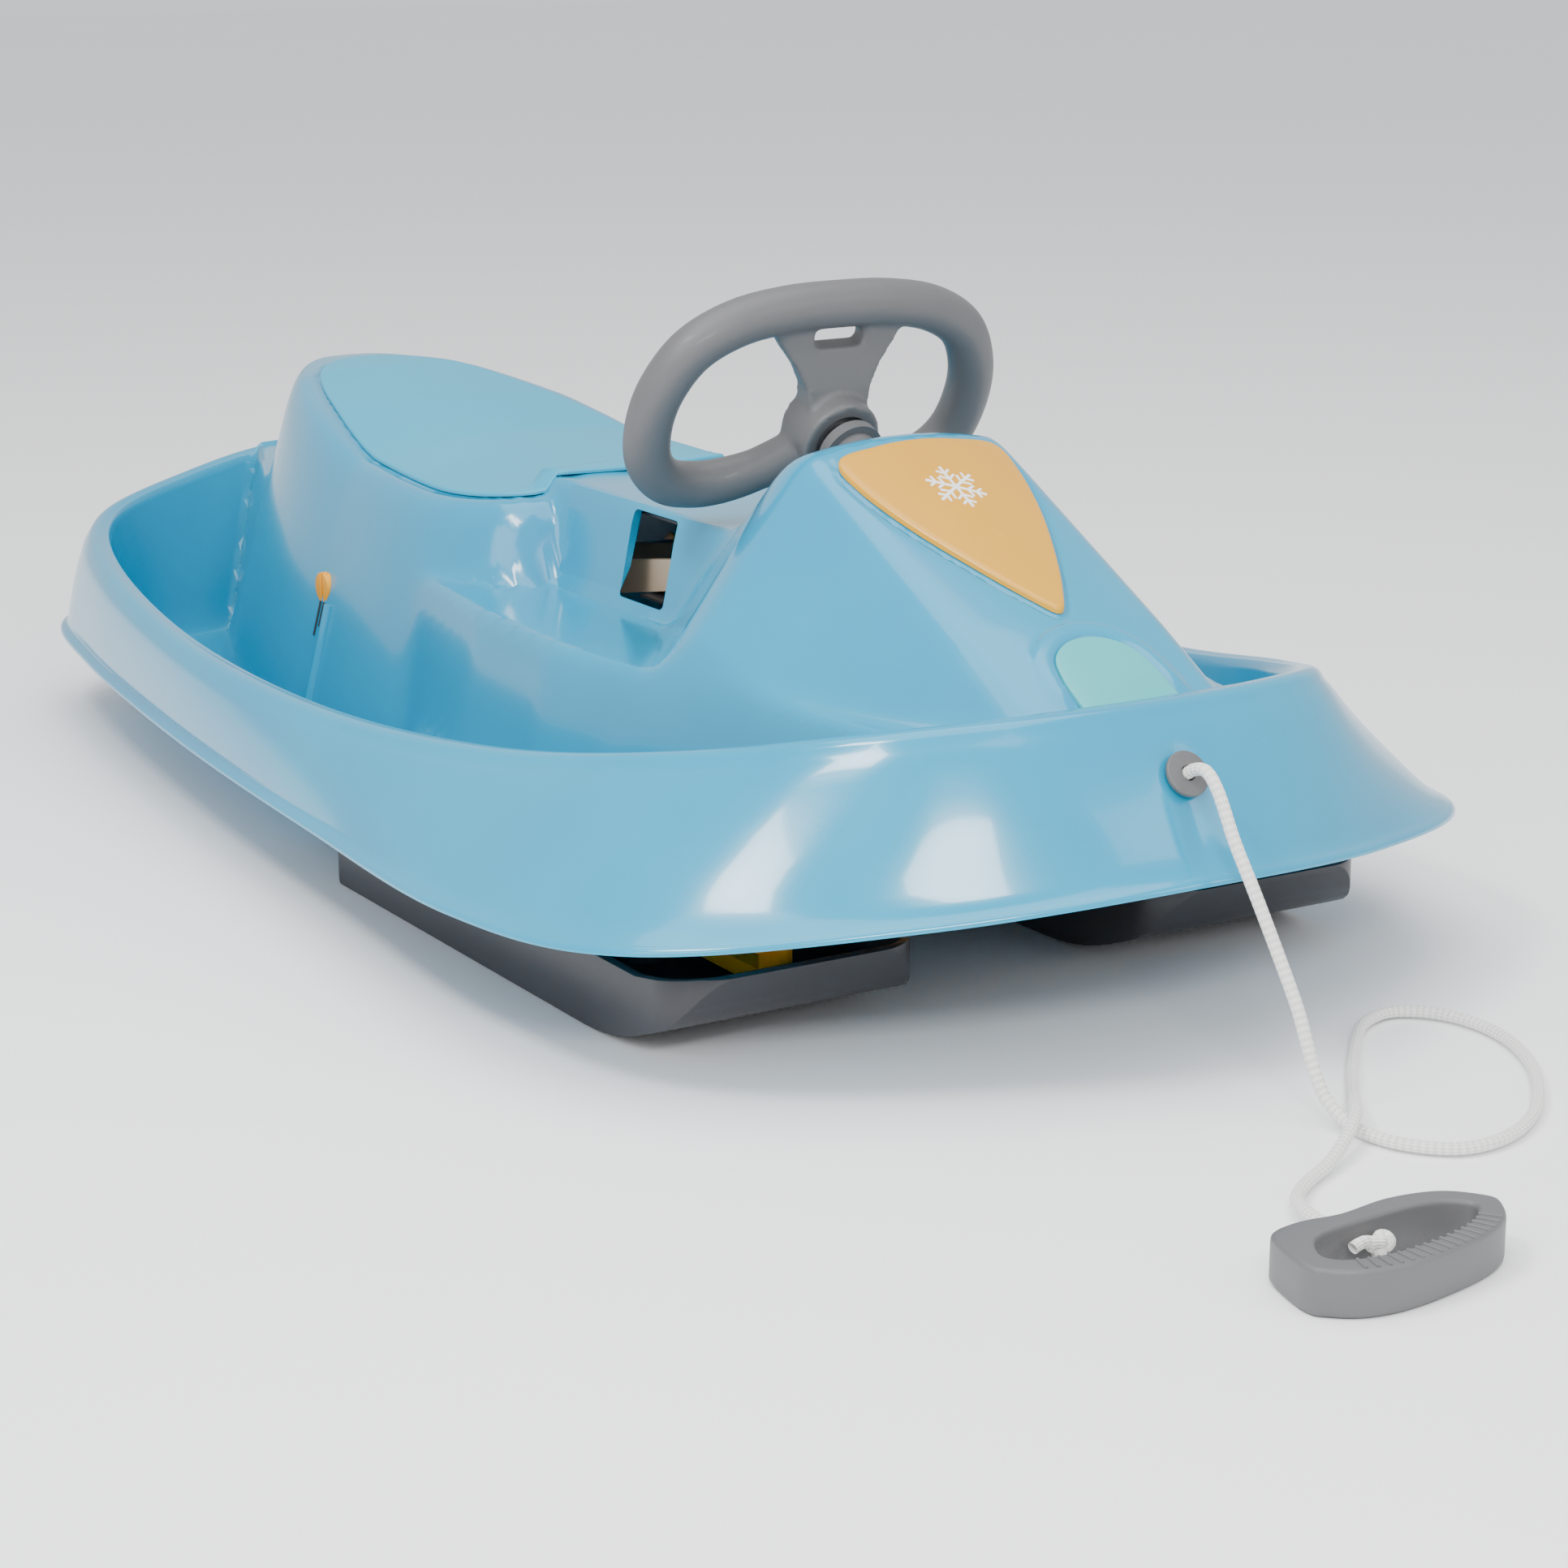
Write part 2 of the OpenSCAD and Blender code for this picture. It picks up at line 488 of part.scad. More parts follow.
module steering_post() {
    color("silver") {
        translate([post_x, 0, post_arm_z[0]]) cylinder(d = post_d, h = fork_z[1] - post_arm_z[0] - 1, $fn = 48);
        translate([post_x, -8, post_arm_z[0]]) cube([post_arm_l, 16, post_arm_z[1] - post_arm_z[0]]);
        translate([tie_x, 0, tie_z[0] + 0.5]) cylinder(r = tie_pin_r, h = post_arm_z[1] - tie_z[0] - 0.5, $fn = 48);
    }
}
fork_gap = pitman_ball_r + slide_gap;
module post_fork() {
    color("gold") difference() {
        union() {
            translate([post_x, 0, fork_z[0]]) cylinder(r = post_d / 2 + 6, h = fork_z[1] - fork_z[0], $fn = 48);
            both_sides() translate([post_x - pitman_l - 14, fork_gap, pitman_tip.z - 8])
                cube([pitman_l + 12, 5, fork_z[1] - pitman_tip.z + 8]);
        }
        translate([post_x, 0, fork_z[0] - 2]) cylinder(d = post_d + 0.06, h = 60, $fn = 48);
        translate([post_x - pitman_l - 20, -fork_gap, fork_z[0] - 2]) cube([pitman_l + 20 - post_d / 2 - 3.5, 2 * fork_gap, 60]);
    }
}
tie_swing = 8;
module tie_rod() {
    color("gold") difference() {
        translate([tie_x - tie_w / 2, -ski_y - 16, tie_z[0]]) cube([tie_w, 2 * ski_y + 32, tie_z[1] - tie_z[0]]);
        for (y = [-ski_y, 0, ski_y]) hull() for (x = [-tie_swing, 1]) translate([tie_x + x, y, tie_z[0] - 1])
            cylinder(r = tie_pin_r + slide_gap, h = 10, $fn = 32);
    }
}
module ski_solid(inset, base, front) {
    nose = ski_l - inset;
    intersection() {
        translate([0, 0, base]) linear_extrude(ski_tip_h + 40) hull() {
            for (s = [-1, 1]) translate([ski_l - 30, s * (ski_w / 2 - 30)]) circle(r = 30 - inset, $fn = 48);
            for (s = [-1, 1]) translate([14, s * (ski_w / 2 - 14)]) circle(r = 14 - inset, $fn = 32);
        }
        rotate([90, 0, 0]) translate([0, 0, -ski_w]) linear_extrude(2 * ski_w)
            polygon(concat([[inset, base + 12], [inset + 4, base + 4], [inset + 12, base]],
                smooth_line([[ski_l - 115, base], [ski_l - 85, base + 0.6], [ski_l - 60, base + 4.5], [ski_l - 37, base + 12],
                [nose - 16 - front, base + 22], [nose - front / 2, ski_tip_h]], 3),
                [[nose - front / 2, ski_tip_h + inset * 8], [inset, ski_tip_h + inset * 8]]));
    }
}
module ski() {
    difference() {
        union() {
            difference() {
                ski_solid(0, 0, 0);
                ski_solid(ski_t, ski_t, 2);
                translate([-1, -ski_w, ski_h]) cube([ski_l - 45, 2 * ski_w, 40]);
                translate([ski_l - 46, -ski_w, ski_h]) rotate([0, -atan((ski_tip_h - ski_h) / 40), 0])
                    cube([80, 2 * ski_w, 40]);
            }
            translate([ski_pivot_x, 0, 0]) cylinder(r = boss_r, h = boss_z, $fn = 64);
            for (y = [-30, 30]) translate([30, y - 2, ski_t - 1]) cube([270, 4, 9]);
        }
        translate([ski_pivot_x, 0, -1]) cylinder(r = kingpin_d / 2 + run_gap, h = boss_z + 2, $fn = 64);
        translate([ski_pivot_x, 0, -1]) cylinder(r = 13, h = 12, $fn = 64);
    }
}
module ski_left() { color("dimgray") translate([0, ski_y, 0]) ski(); }
module ski_right() { color("dimgray") translate([0, -ski_y, 0]) mirror([0, 1, 0]) ski(); }
knuckle_z = [26, 34];
module knuckle() {
    difference() {
        union() {
            translate([ski_pivot_x, 0, knuckle_z[0]]) cylinder(r = boss_r + 7, h = knuckle_z[1] - knuckle_z[0], $fn = 64);
            translate([ski_pivot_x, -8, knuckle_z[0]]) cube([tie_x - ski_pivot_x, 16, knuckle_z[1] - knuckle_z[0]]);
            translate([tie_x, 0, knuckle_z[0]]) cylinder(r = 8, h = tie_z[0] - knuckle_z[0] - 0.5, $fn = 48);
            translate([tie_x, 0, knuckle_z[0]]) cylinder(r = tie_pin_r, h = tie_z[1] - knuckle_z[0] + 1, $fn = 48);
        }
        translate([ski_pivot_x, 0, 0]) cylinder(r = boss_r + 0.05, h = 80, $fn = 64);
    }
}
module knuckle_left() { color("gold") translate([0, ski_y, 0]) knuckle(); }
module knuckle_right() { color("gold") translate([0, -ski_y, 0]) knuckle(); }
nut_z = [3, 10.4];
module kingpins() {
    color("silver") both_sides() translate([ski_pivot_x, ski_y, 0]) {
        translate([0, 0, 2]) cylinder(d = kingpin_d, h = frame_z[1] - 1, $fn = 48);
        translate([0, 0, frame_z[1] + 0.1]) cylinder(r = kingpin_head_r, h = 3.4, $fn = 6);
        translate([0, 0, boss_z + 0.4]) cylinder(r = 13, h = frame_z[0] - boss_z - 0.5, $fn = 48);
    }
}
module kingpin_nuts() {
    color("silver") both_sides() translate([ski_pivot_x, ski_y, nut_z[0]]) difference() {
        cylinder(r = 11, h = nut_z[1] - nut_z[0], $fn = 6);
        translate([0, 0, -1]) cylinder(r = kingpin_d / 2 + 0.03, h = 20, $fn = 48);
    }
}

// Hand brake: the lever swings on the pivot rod inside the seat
lever_y = 38;
lever_t = 6;
claw_x = -292;
cross_z = [64, 100];
module brake_lever() {
    bar_r = brake_bar_d / 2 - 3;
    color("gold") difference() {
        union() {
            both_sides() translate([0, lever_y + lever_t, 0]) rotate([90, 0, 0]) linear_extrude(lever_t) polygon([
                [claw_x + 3, cross_z[0]], [claw_x + 3, cross_z[1]], [brake_pivot.x - 12, brake_pivot.z + 12],
                [brake_pivot.x + 20, brake_pivot.z + 14], [brake_bar.x - 4, brake_bar.z + 8],
                [brake_bar.x + 8, brake_bar.z], [brake_bar.x, brake_bar.z - 8], [brake_pivot.x + 20, brake_pivot.z - 12],
                [brake_pivot.x - 10, brake_pivot.z - 14], [claw_x + 20, cross_z[0]]]);
            translate([claw_x + 3, -lever_y - 1, cross_z[0]]) cube([8, 2 * lever_y + 2, cross_z[1] - cross_z[0]]);
            translate(brake_pivot) rod_y(brake_rod_d / 2 + 5, -lever_y - 1, lever_y + 1);
            translate(brake_bar) rod_y(bar_r, -lever_y - 1, lever_y + 1);
        }
        translate(brake_pivot) rod_y(brake_rod_d / 2 + run_gap, -60, 60);
        for (y = [-18, 18]) translate([claw_x - 2, y, claw_screw_z]) rotate([0, 90, 0]) cylinder(r = screw_r, h = 30, $fn = 24);
    }
}
module brake_grip() {
    color("tan") translate(brake_bar) difference() {
        rod_y(brake_bar_d / 2, -lever_y + 0.3, lever_y - 0.3);
        rod_y(brake_bar_d / 2 - 2.97, -60, 60);
    }
}
claw_screw_z = 82;
claw_t = 3;
module brake_claw() {
    teeth = 5;
    pitch = claw_w / teeth;
    color("silver") difference() {
        translate([claw_x - 0.1, -claw_w / 2, 3]) cube([claw_t, claw_w, cross_z[1] - 6]);
        for (k = [0:teeth - 2]) translate([claw_x - 5, -claw_w / 2 + pitch * (k + 1), 0]) rotate([0, 90, 0])
            cylinder(r = pitch * 0.35, h = 20, $fn = 24);
        for (y = [-18, 18]) translate([claw_x - 5, y, claw_screw_z]) rotate([0, 90, 0])
            cylinder(r = screw_r + 0.2, h = 20, $fn = 24);
    }
}
module claw_screws() {
    color("silver") for (y = [-18, 18]) translate([claw_x - 0.2, y, claw_screw_z]) rotate([0, 90, 0]) {
        cylinder(r = screw_r - 0.02, h = 10, $fn = 24);
        translate([0, 0, -2.5]) cylinder(r = 5, h = 2.5, $fn = 32);
    }
}
module brake_pivot_rod() {
    color("silver") translate(brake_pivot) rod_y(brake_rod_d / 2, -rod_reach, rod_reach);
}
rod_reach = ledge_w(brake_pivot.x) + (ledge_z - brake_pivot.z) / wall_slope + 7;
pin_r = 9;
pin_seat = rod_reach - 1.6;
module snap_pin() {
    translate(brake_pivot) difference() {
        rod_y(pin_r, pin_seat, rod_reach + 7);
        rod_y(brake_rod_d / 2 + 0.03, 0, rod_reach + 0.2);
        translate([-1.2, rod_reach + 2, -pin_r - 1]) cube([2.4, 10, 2 * pin_r + 2]);
    }
}
module snap_pin_left() { color("gold") snap_pin(); }
module snap_pin_right() { color("gold") mirror([0, 1, 0]) snap_pin(); }

// Tow rope as it lies: out of the grommet, down to the ground, one open loop and into the handle
rope_route = [[476, 0, 133], [484, 0, 138], [492, 0, 143], [501, 0, 144], [510, 0, 136], [522, 0, 117], [535, 2, 96],
    [548, 5, 72], [560, 8, 48], [570, 9, 26], [580, 10, 11], [598, 11, 4], [622, 16, 3.5], [640, 34, 3.5], [640, 60, 3.5],
    [626, 88, 3.5], [602, 114, 3.5], [570, 138, 3.5], [534, 152, 3.5], [502, 150, 3.5], [484, 132, 3.5], [490, 108, 3.5],
    [512, 84, 3.5], [538, 60, 3.5], [562, 40, 4], [582, 24, 8], [600, 9, 10.5], [614, -8, 8], [626, -27, 4.5],
    [635, -45, 3.5], [646, -60, 4.5], [660, -72, 7], [677, -80, 9.5], [693, -82.6, 10], [706, -80.4, 10]];
module tow_rope() {
    path = smooth_line(rope_route, 2);
    color("whitesmoke") tube(path, [for (p = path) rope_d / 2], 8, [0, 1, 0]);
}
handle_at = [724, -77, 0];
handle_turn = 100;
rope_entry = 0;
gap_y = 15 * handle_w / 62;
knot_r = 7.5;
module handle_frame() translate(handle_at) rotate([0, 0, handle_turn]) children();
module rope_knot() {
    color("whitesmoke") handle_frame() translate([rope_entry, gap_y - knot_r - 0.2, handle_h / 2])
        sphere(r = knot_r, $fn = 24);
}
handle_outline = [[-60, -10], [-46, -27], [-20, -31], [26, -31], [50, -26], [64, -8], [62, 8], [48, 26], [16, 31],
    [-34, 31], [-52, 22], [-62, 6]];
module tow_handle() {
    color("gray") handle_frame() difference() {
        linear_extrude(handle_h) scale_to(handle_outline);
        translate([0, 0, -1]) linear_extrude(handle_h + 2) scale_to([[-44, -8], [-34, -17], [30, -19], [42, -10], [44, 2],
            [34, 12], [10, 15], [-32, 15], [-44, 6]]);
        translate([rope_entry, 0, handle_h / 2]) rotate([-90, 0, 0]) cylinder(r = rope_d / 2 + 0.4, h = 60, $fn = 24);
    }
}
module scale_to(outline) polygon([for (p = outline) [p.x * handle_l / 128, p.y * handle_w / 62]]);

hull_shell();
seat_pad();
hood_cover();
winder_cover();
rope_grommet();
rear_runner_left();
rear_runner_right();
runner_screws();
winder_frame();
winder_drum();
winder_axle();
winder_spring();
steering_wheel();
wheel_hub();
wheel_screw();
steering_column();
column_sleeve();
column_clip();
pitman_arm();
steering_frame();
frame_screws();
steering_post();
post_fork();
tie_rod();
ski_left();
ski_right();
knuckle_left();
knuckle_right();
kingpins();
kingpin_nuts();
brake_lever();
brake_grip();
brake_claw();
claw_screws();
brake_pivot_rod();
snap_pin_left();
snap_pin_right();
tow_rope();
rope_knot();
tow_handle();
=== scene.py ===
import json
import math

import bmesh
import bpy
import numpy as np
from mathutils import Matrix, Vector


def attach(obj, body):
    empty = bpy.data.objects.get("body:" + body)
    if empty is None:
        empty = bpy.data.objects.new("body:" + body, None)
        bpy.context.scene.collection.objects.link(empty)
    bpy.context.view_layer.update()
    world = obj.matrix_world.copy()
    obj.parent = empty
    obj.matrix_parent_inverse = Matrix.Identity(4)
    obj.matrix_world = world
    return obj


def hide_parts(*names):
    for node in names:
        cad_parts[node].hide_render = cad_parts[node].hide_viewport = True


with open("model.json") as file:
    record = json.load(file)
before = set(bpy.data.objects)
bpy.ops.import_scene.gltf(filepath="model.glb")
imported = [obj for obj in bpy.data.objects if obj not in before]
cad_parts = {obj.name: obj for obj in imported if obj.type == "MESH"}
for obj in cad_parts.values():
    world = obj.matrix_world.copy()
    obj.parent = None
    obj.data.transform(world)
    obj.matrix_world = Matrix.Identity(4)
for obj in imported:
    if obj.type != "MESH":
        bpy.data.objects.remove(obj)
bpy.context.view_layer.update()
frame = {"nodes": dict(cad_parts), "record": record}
nodes = frame["nodes"]
bodyOf = {node: body for body, held in frame["record"]["behaviour"]["bodies"].items() for node in held}
mm = 0.001


# points, curves and meshes

def arr(values):
    return np.array(values, dtype=float)


def unit(v):
    return v / np.maximum(np.linalg.norm(v, axis=-1, keepdims=True), 1e-9)


def catmull(a, b, c, d, t):
    return ((2 * b) + (c - a) * t + (2 * a - 5 * b + 4 * c - d) * t * t + (3 * b - a - 3 * c + d) * t * t * t) / 2


def smoothLoop(knots, steps):
    knots, out = arr(knots), []
    count = len(knots)
    steps = [steps] * count if isinstance(steps, int) else steps
    for i in range(count):
        for k in range(steps[i]):
            out.append(catmull(knots[i - 1], knots[i], knots[(i + 1) % count], knots[(i + 2) % count], k / steps[i]))
    return arr(out)


def smoothLine(knots, steps):
    knots, out = arr(knots), []
    last = len(knots) - 1
    for i in range(last):
        for k in range(steps):
            out.append(catmull(knots[max(i - 1, 0)], knots[i], knots[i + 1], knots[min(i + 2, last)], k / steps))
    return arr(out + [knots[last]])


def mirrorHalf(half):
    half = arr(half)
    back = half[-2:0:-1].copy()
    back[:, 1] *= -1
    return np.concatenate([half, back])


def meshObject(name, points, faces, edges=()):
    # points in millimetres
    mesh = bpy.data.meshes.new(name)
    places = [tuple(float(c) * mm for c in p) for p in points]
    mesh.from_pydata(places, list(edges), [tuple(int(i) for i in f) for f in faces])
    mesh.validate()
    piece = bpy.data.objects.new(name, mesh)
    bpy.context.collection.objects.link(piece)
    return piece


def gridFaces(rows, columns, loopRows=False, loopColumns=False):
    faces = []
    for i in range(rows if loopRows else rows - 1):
        for k in range(columns if loopColumns else columns - 1):
            a, b = i * columns, ((i + 1) % rows) * columns
            n = (k + 1) % columns
            faces.append((a + k, a + n, b + n, b + k))
    return faces


def tidyMesh(piece, merge=1e-5, smooth=True, angle=None):
    bm = bmesh.new()
    bm.from_mesh(piece.data)
    bmesh.ops.remove_doubles(bm, verts=bm.verts, dist=merge)
    bmesh.ops.dissolve_degenerate(bm, edges=bm.edges, dist=1e-6)
    bmesh.ops.recalc_face_normals(bm, faces=bm.faces)
    bm.to_mesh(piece.data)
    bm.free()
    if smooth:
        piece.data.shade_smooth()
    if angle:
        piece.data.set_sharp_from_angle(angle=math.radians(angle))
    return piece


def applyAll(piece):
    graph = bpy.context.evaluated_depsgraph_get()
    graph.update()
    mesh = bpy.data.meshes.new_from_object(piece.evaluated_get(graph), preserve_all_data_layers=True, depsgraph=graph)
    piece.modifiers.clear()
    piece.data = mesh
    return piece


def sweep(path, radii, sides, start=(0, 0, 1), profile=None):
    # rings carried along a path without twist; profile scales the radius by (point, angle)
    path, normals = arr(path), []
    tangents = unit(np.gradient(path, axis=0))
    n = arr(start)
    for t in tangents:
        n = unit(n - n.dot(t) * t)
        normals.append(n)
    normals = arr(normals)
    across = np.cross(tangents, normals)
    angle = 2 * np.pi * np.arange(sides) / sides
    radii = np.broadcast_to(arr(radii).reshape(-1, 1) if np.ndim(radii) else arr([[radii]]), (len(path), sides)).copy()
    if profile is not None:
        radii = radii * profile(np.arange(len(path))[:, None], angle[None, :])
    rings = (path[:, None, :] + radii[..., None] * (np.cos(angle)[None, :, None] * normals[:, None, :]
             + np.sin(angle)[None, :, None] * across[:, None, :]))
    points = rings.reshape(-1, 3)
    faces = gridFaces(len(path), sides, loopColumns=True)
    faces.append(tuple(range(sides)))
    faces.append(tuple((len(path) - 1) * sides + k for k in range(sides - 1, -1, -1)))
    return points, faces


def joined(parts):
    points, faces, base = [], [], 0
    for p, f in parts:
        points.append(arr(p))
        faces += [tuple(i + base for i in face) for face in f]
        base += len(p)
    return np.concatenate(points), faces


def cutWith(piece, cutters):
    for cutter in cutters:
        tidyMesh(cutter, smooth=False)
        change = piece.modifiers.new("cut", "BOOLEAN")
        change.operation, change.solver, change.object = "DIFFERENCE", "MANIFOLD", cutter
    applyAll(piece)
    for cutter in cutters:
        bpy.data.objects.remove(cutter)
    return piece


def outlineDistance(x, y, outline):
    # distance to a closed outline, negative inside
    outline = arr(outline)
    a, b = outline, np.roll(outline, -1, axis=0)
    shape = np.shape(x)
    p = np.stack([np.ravel(x), np.ravel(y)], 1)
    best, inside = np.full(len(p), 1e9), np.zeros(len(p), bool)
    for q, r in zip(a, b):
        e = r - q
        t = np.clip(((p - q) @ e) / max(e @ e, 1e-9), 0, 1)
        best = np.minimum(best, np.hypot(*(p - q - t[:, None] * e).T))
        crosses = ((q[1] > p[:, 1]) != (r[1] > p[:, 1]))
        side = (r[0] - q[0]) * (p[:, 1] - q[1]) / ((r[1] - q[1]) if r[1] != q[1] else 1e-9) + q[0]
        inside ^= crosses & (p[:, 0] < side)
    return np.where(inside, -best, best).reshape(shape)


# shader maths

class Wire:
    def __init__(self, tree, socket):
        self.tree, self.socket = tree, socket

    def op(self, kind, *others):
        node = self.tree.nodes.new("ShaderNodeMath")
        node.operation = kind
        for i, value in enumerate((self,) + others):
            if isinstance(value, Wire):
                self.tree.links.new(value.socket, node.inputs[i])
            else:
                node.inputs[i].default_value = value
        return Wire(self.tree, node.outputs[0])

    def other(self, kind, value):
        node = self.tree.nodes.new("ShaderNodeMath")
        node.operation = kind
        node.inputs[0].default_value = value
        self.tree.links.new(self.socket, node.inputs[1])
        return Wire(self.tree, node.outputs[0])

    def __add__(self, v): return self.op("ADD", v)
    def __radd__(self, v): return self.op("ADD", v)
    def __sub__(self, v): return self.op("SUBTRACT", v)
    def __rsub__(self, v): return self.other("SUBTRACT", v)
    def __mul__(self, v): return self.op("MULTIPLY", v)
    def __rmul__(self, v): return self.op("MULTIPLY", v)
    def __truediv__(self, v): return self.op("DIVIDE", v)
    def __pow__(self, v): return self.op("POWER", v)


class Paint:
    def __init__(self, name):
        self.material = bpy.data.materials.new(name)
        self.material.use_nodes = True
        self.tree = self.material.node_tree
        self.shader = self.tree.nodes["Principled BSDF"]

    def node(self, kind, settings=None, **values):
        made = self.tree.nodes.new(kind)
        for key, value in (settings or {}).items():
            setattr(made, key, value)
        for key, value in values.items():
            socket = made.inputs[int(key[2:]) if key.startswith("in") and key[2:].isdigit() else key.replace("_", " ")]
            if isinstance(value, Wire):
                self.tree.links.new(value.socket, socket)
            else:
                socket.default_value = value
        return Wire(self.tree, made.outputs[0])

    def place(self, scale=(1, 1, 1), turn=(0, 0, 0)):
        source = self.tree.nodes.new("ShaderNodeTexCoord")
        return self.node("ShaderNodeMapping", in0=Wire(self.tree, source.outputs["Object"]), in2=turn, in3=scale)

    def noise(self, where, scale, detail=3.0, rough=0.55):
        return self.node("ShaderNodeTexNoise", Vector=where, Scale=scale, Detail=detail, Roughness=rough)

    def mix(self, factor, a, b):
        made = self.tree.nodes.new("ShaderNodeMix")
        made.data_type, made.blend_type = "RGBA", "MIX"
        for socket, value in ((made.inputs[0], factor), (made.inputs[6], a), (made.inputs[7], b)):
            if isinstance(value, Wire):
                self.tree.links.new(value.socket, socket)
            else:
                socket.default_value = value if not isinstance(value, tuple) or len(value) == 4 else (*value, 1)
        return Wire(self.tree, made.outputs[2])

    def bump(self, height, strength, distance, under=None):
        values = dict(Strength=strength, Distance=distance, Height=height)
        if under:
            values["Normal"] = under
        return self.node("ShaderNodeBump", **values)

    def finish(self, **values):
        for key, value in values.items():
            socket = self.shader.inputs[key.replace("_", " ")]
            if isinstance(value, Wire):
                self.tree.links.new(value.socket, socket)
            else:
                socket.default_value = (*value, 1) if isinstance(value, tuple) and len(value) == 3 else value
        return self.material


def linear(r, g, b):
    return tuple((c / 255 / 12.92) if c <= 10 else ((c / 255 + 0.055) / 1.055) ** 2.4 for c in (r, g, b))


def mouldedPlastic(name, tint, shade, rough, coat, grain, grainDepth, scuff=0.06):
    paint = Paint(name)
    where = paint.place()
    cloud = paint.noise(where, 5.5, 4)
    fine = paint.noise(where, grain, 2)
    colour = paint.mix(paint.node("ShaderNodeMapRange", Value=cloud, in1=0.35, in2=0.68), shade, tint)
    scratch = paint.noise(paint.place(scale=(40, 260, 90), turn=(0.2, 0.1, 0.5)), 1.0, 4, 0.7)
    worn = paint.node("ShaderNodeMapRange", Value=scratch, in1=0.62, in2=0.78)
    colour = paint.mix(worn * 0.10, colour, tuple(min(1, c * 1.25 + 0.02) for c in tint))
    roughness = cloud * scuff + (rough - scuff * 0.5) + worn * 0.08
    ripple = paint.bump(cloud, 0.12, 0.0016)
    surface = paint.bump(fine, 0.35, grainDepth, ripple)
    return paint.finish(Base_Color=colour, Roughness=roughness, Normal=surface, Coat_Weight=coat,
                        Coat_Roughness=0.06, IOR=1.49)


def brushedSteel(name):
    paint = Paint(name)
    lines = paint.noise(paint.place(scale=(30, 900, 900)), 1.0, 3)
    colour = paint.mix(lines, (0.42, 0.43, 0.45), (0.62, 0.63, 0.65))
    return paint.finish(Base_Color=colour, Roughness=lines * 0.2 + 0.22, Metallic=1.0,
                        Normal=paint.bump(lines, 0.15, 0.0003))


def braidedRope(name):
    paint = Paint(name)
    uv = paint.node("ShaderNodeUVMap", {"uv_map": "braid"})
    parts = paint.tree.nodes.new("ShaderNodeSeparateXYZ")
    paint.tree.links.new(uv.socket, parts.inputs[0])
    along, around = Wire(paint.tree, parts.outputs[0]), Wire(paint.tree, parts.outputs[1])
    left = ((along + around) * (2 * math.pi)).op("SINE")
    right = ((along - around) * (2 * math.pi)).op("SINE")
    strand = (left * right * 0.5 + 0.5)
    fluff = paint.noise(paint.place(), 2600, 2)
    # painted shade: the grooves between strands are coloured darker and the strand crowns lighter, following the braid
    # relief
    colour = paint.mix(strand, linear(205, 203, 198), linear(252, 251, 248))
    colour = paint.mix(fluff * 0.25, colour, linear(226, 224, 220))
    surface = paint.bump(fluff, 0.3, 0.0002, paint.bump(strand, 0.8, 0.0006))
    return paint.finish(Base_Color=colour, Roughness=fluff * 0.15 + 0.72, Normal=surface, Sheen_Weight=0.3,
                        Sheen_Roughness=0.5)


# name: light tone, dark tone, roughness, coat, grain size, grain depth
plastics = {
    "hull_blue": ((0.0, 0.30, 0.49), (0.0, 0.265, 0.46), 0.2, 0.4, 900, 0.00006),
    "pad_light_blue": ((0.01, 0.38, 0.56), (0.005, 0.34, 0.53), 0.42, 0.08, 1500, 0.00015),
    "cover_yellow": ((0.70, 0.34, 0.0), (0.67, 0.315, 0.0), 0.26, 0.3, 900, 0.00006),
    "cover_teal": ((0.05, 0.45, 0.47), (0.04, 0.42, 0.44), 0.34, 0.15, 1200, 0.0001),
    "grey_plastic": (linear(98, 98, 99), linear(91, 91, 92), 0.5, 0.05, 2200, 0.00025),
    "dark_plastic": (linear(44, 45, 48), linear(36, 37, 40), 0.5, 0.04, 1800, 0.0002),
    "ski_black": (linear(58, 58, 62), linear(46, 46, 50), 0.42, 0.08, 1600, 0.0002, 0.12),
    "link_yellow": ((0.95, 0.40, 0.0), (0.9, 0.34, 0.0), 0.4, 0.1, 1500, 0.0001),
    # brake grip: yellow plastic painted beige with the shade of the dark recess it sits in
    "grip_sand": (linear(196, 176, 152), linear(178, 158, 134), 0.55, 0.03, 1800, 0.0002),
    "snow_white": (linear(250, 250, 250), linear(240, 242, 244), 0.3, 0.2, 1200, 0.0001),
}
finishes = {name: mouldedPlastic(name, *values) for name, values in plastics.items()}
finishes["rope_white"] = braidedRope("rope_white")
finishes["steel"] = brushedSteel("steel")


def settle(piece, finish, body, *stands):
    piece.data.materials.clear()
    piece.data.materials.append(finishes[finish])
    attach(piece, body)
    if stands:
        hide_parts(*stands)
    return piece


print("finishes ready")

# camera

lens = {"place": (1.71796, -0.96707, 0.54974), "down": 14.927, "around": 58.496, "focal": 82.118, "sensor": 36,
        "clip": 0.05}
camera = bpy.data.objects.new("camera", bpy.data.cameras.new("camera"))
bpy.context.collection.objects.link(camera)
camera.location = lens["place"]
camera.rotation_euler = (math.radians(90 - lens["down"]), 0, math.radians(lens["around"]))
camera.data.lens = lens["focal"]
camera.data.sensor_width = lens["sensor"]
camera.data.clip_start = lens["clip"]
bpy.context.scene.camera = camera

# tow rope with its knot

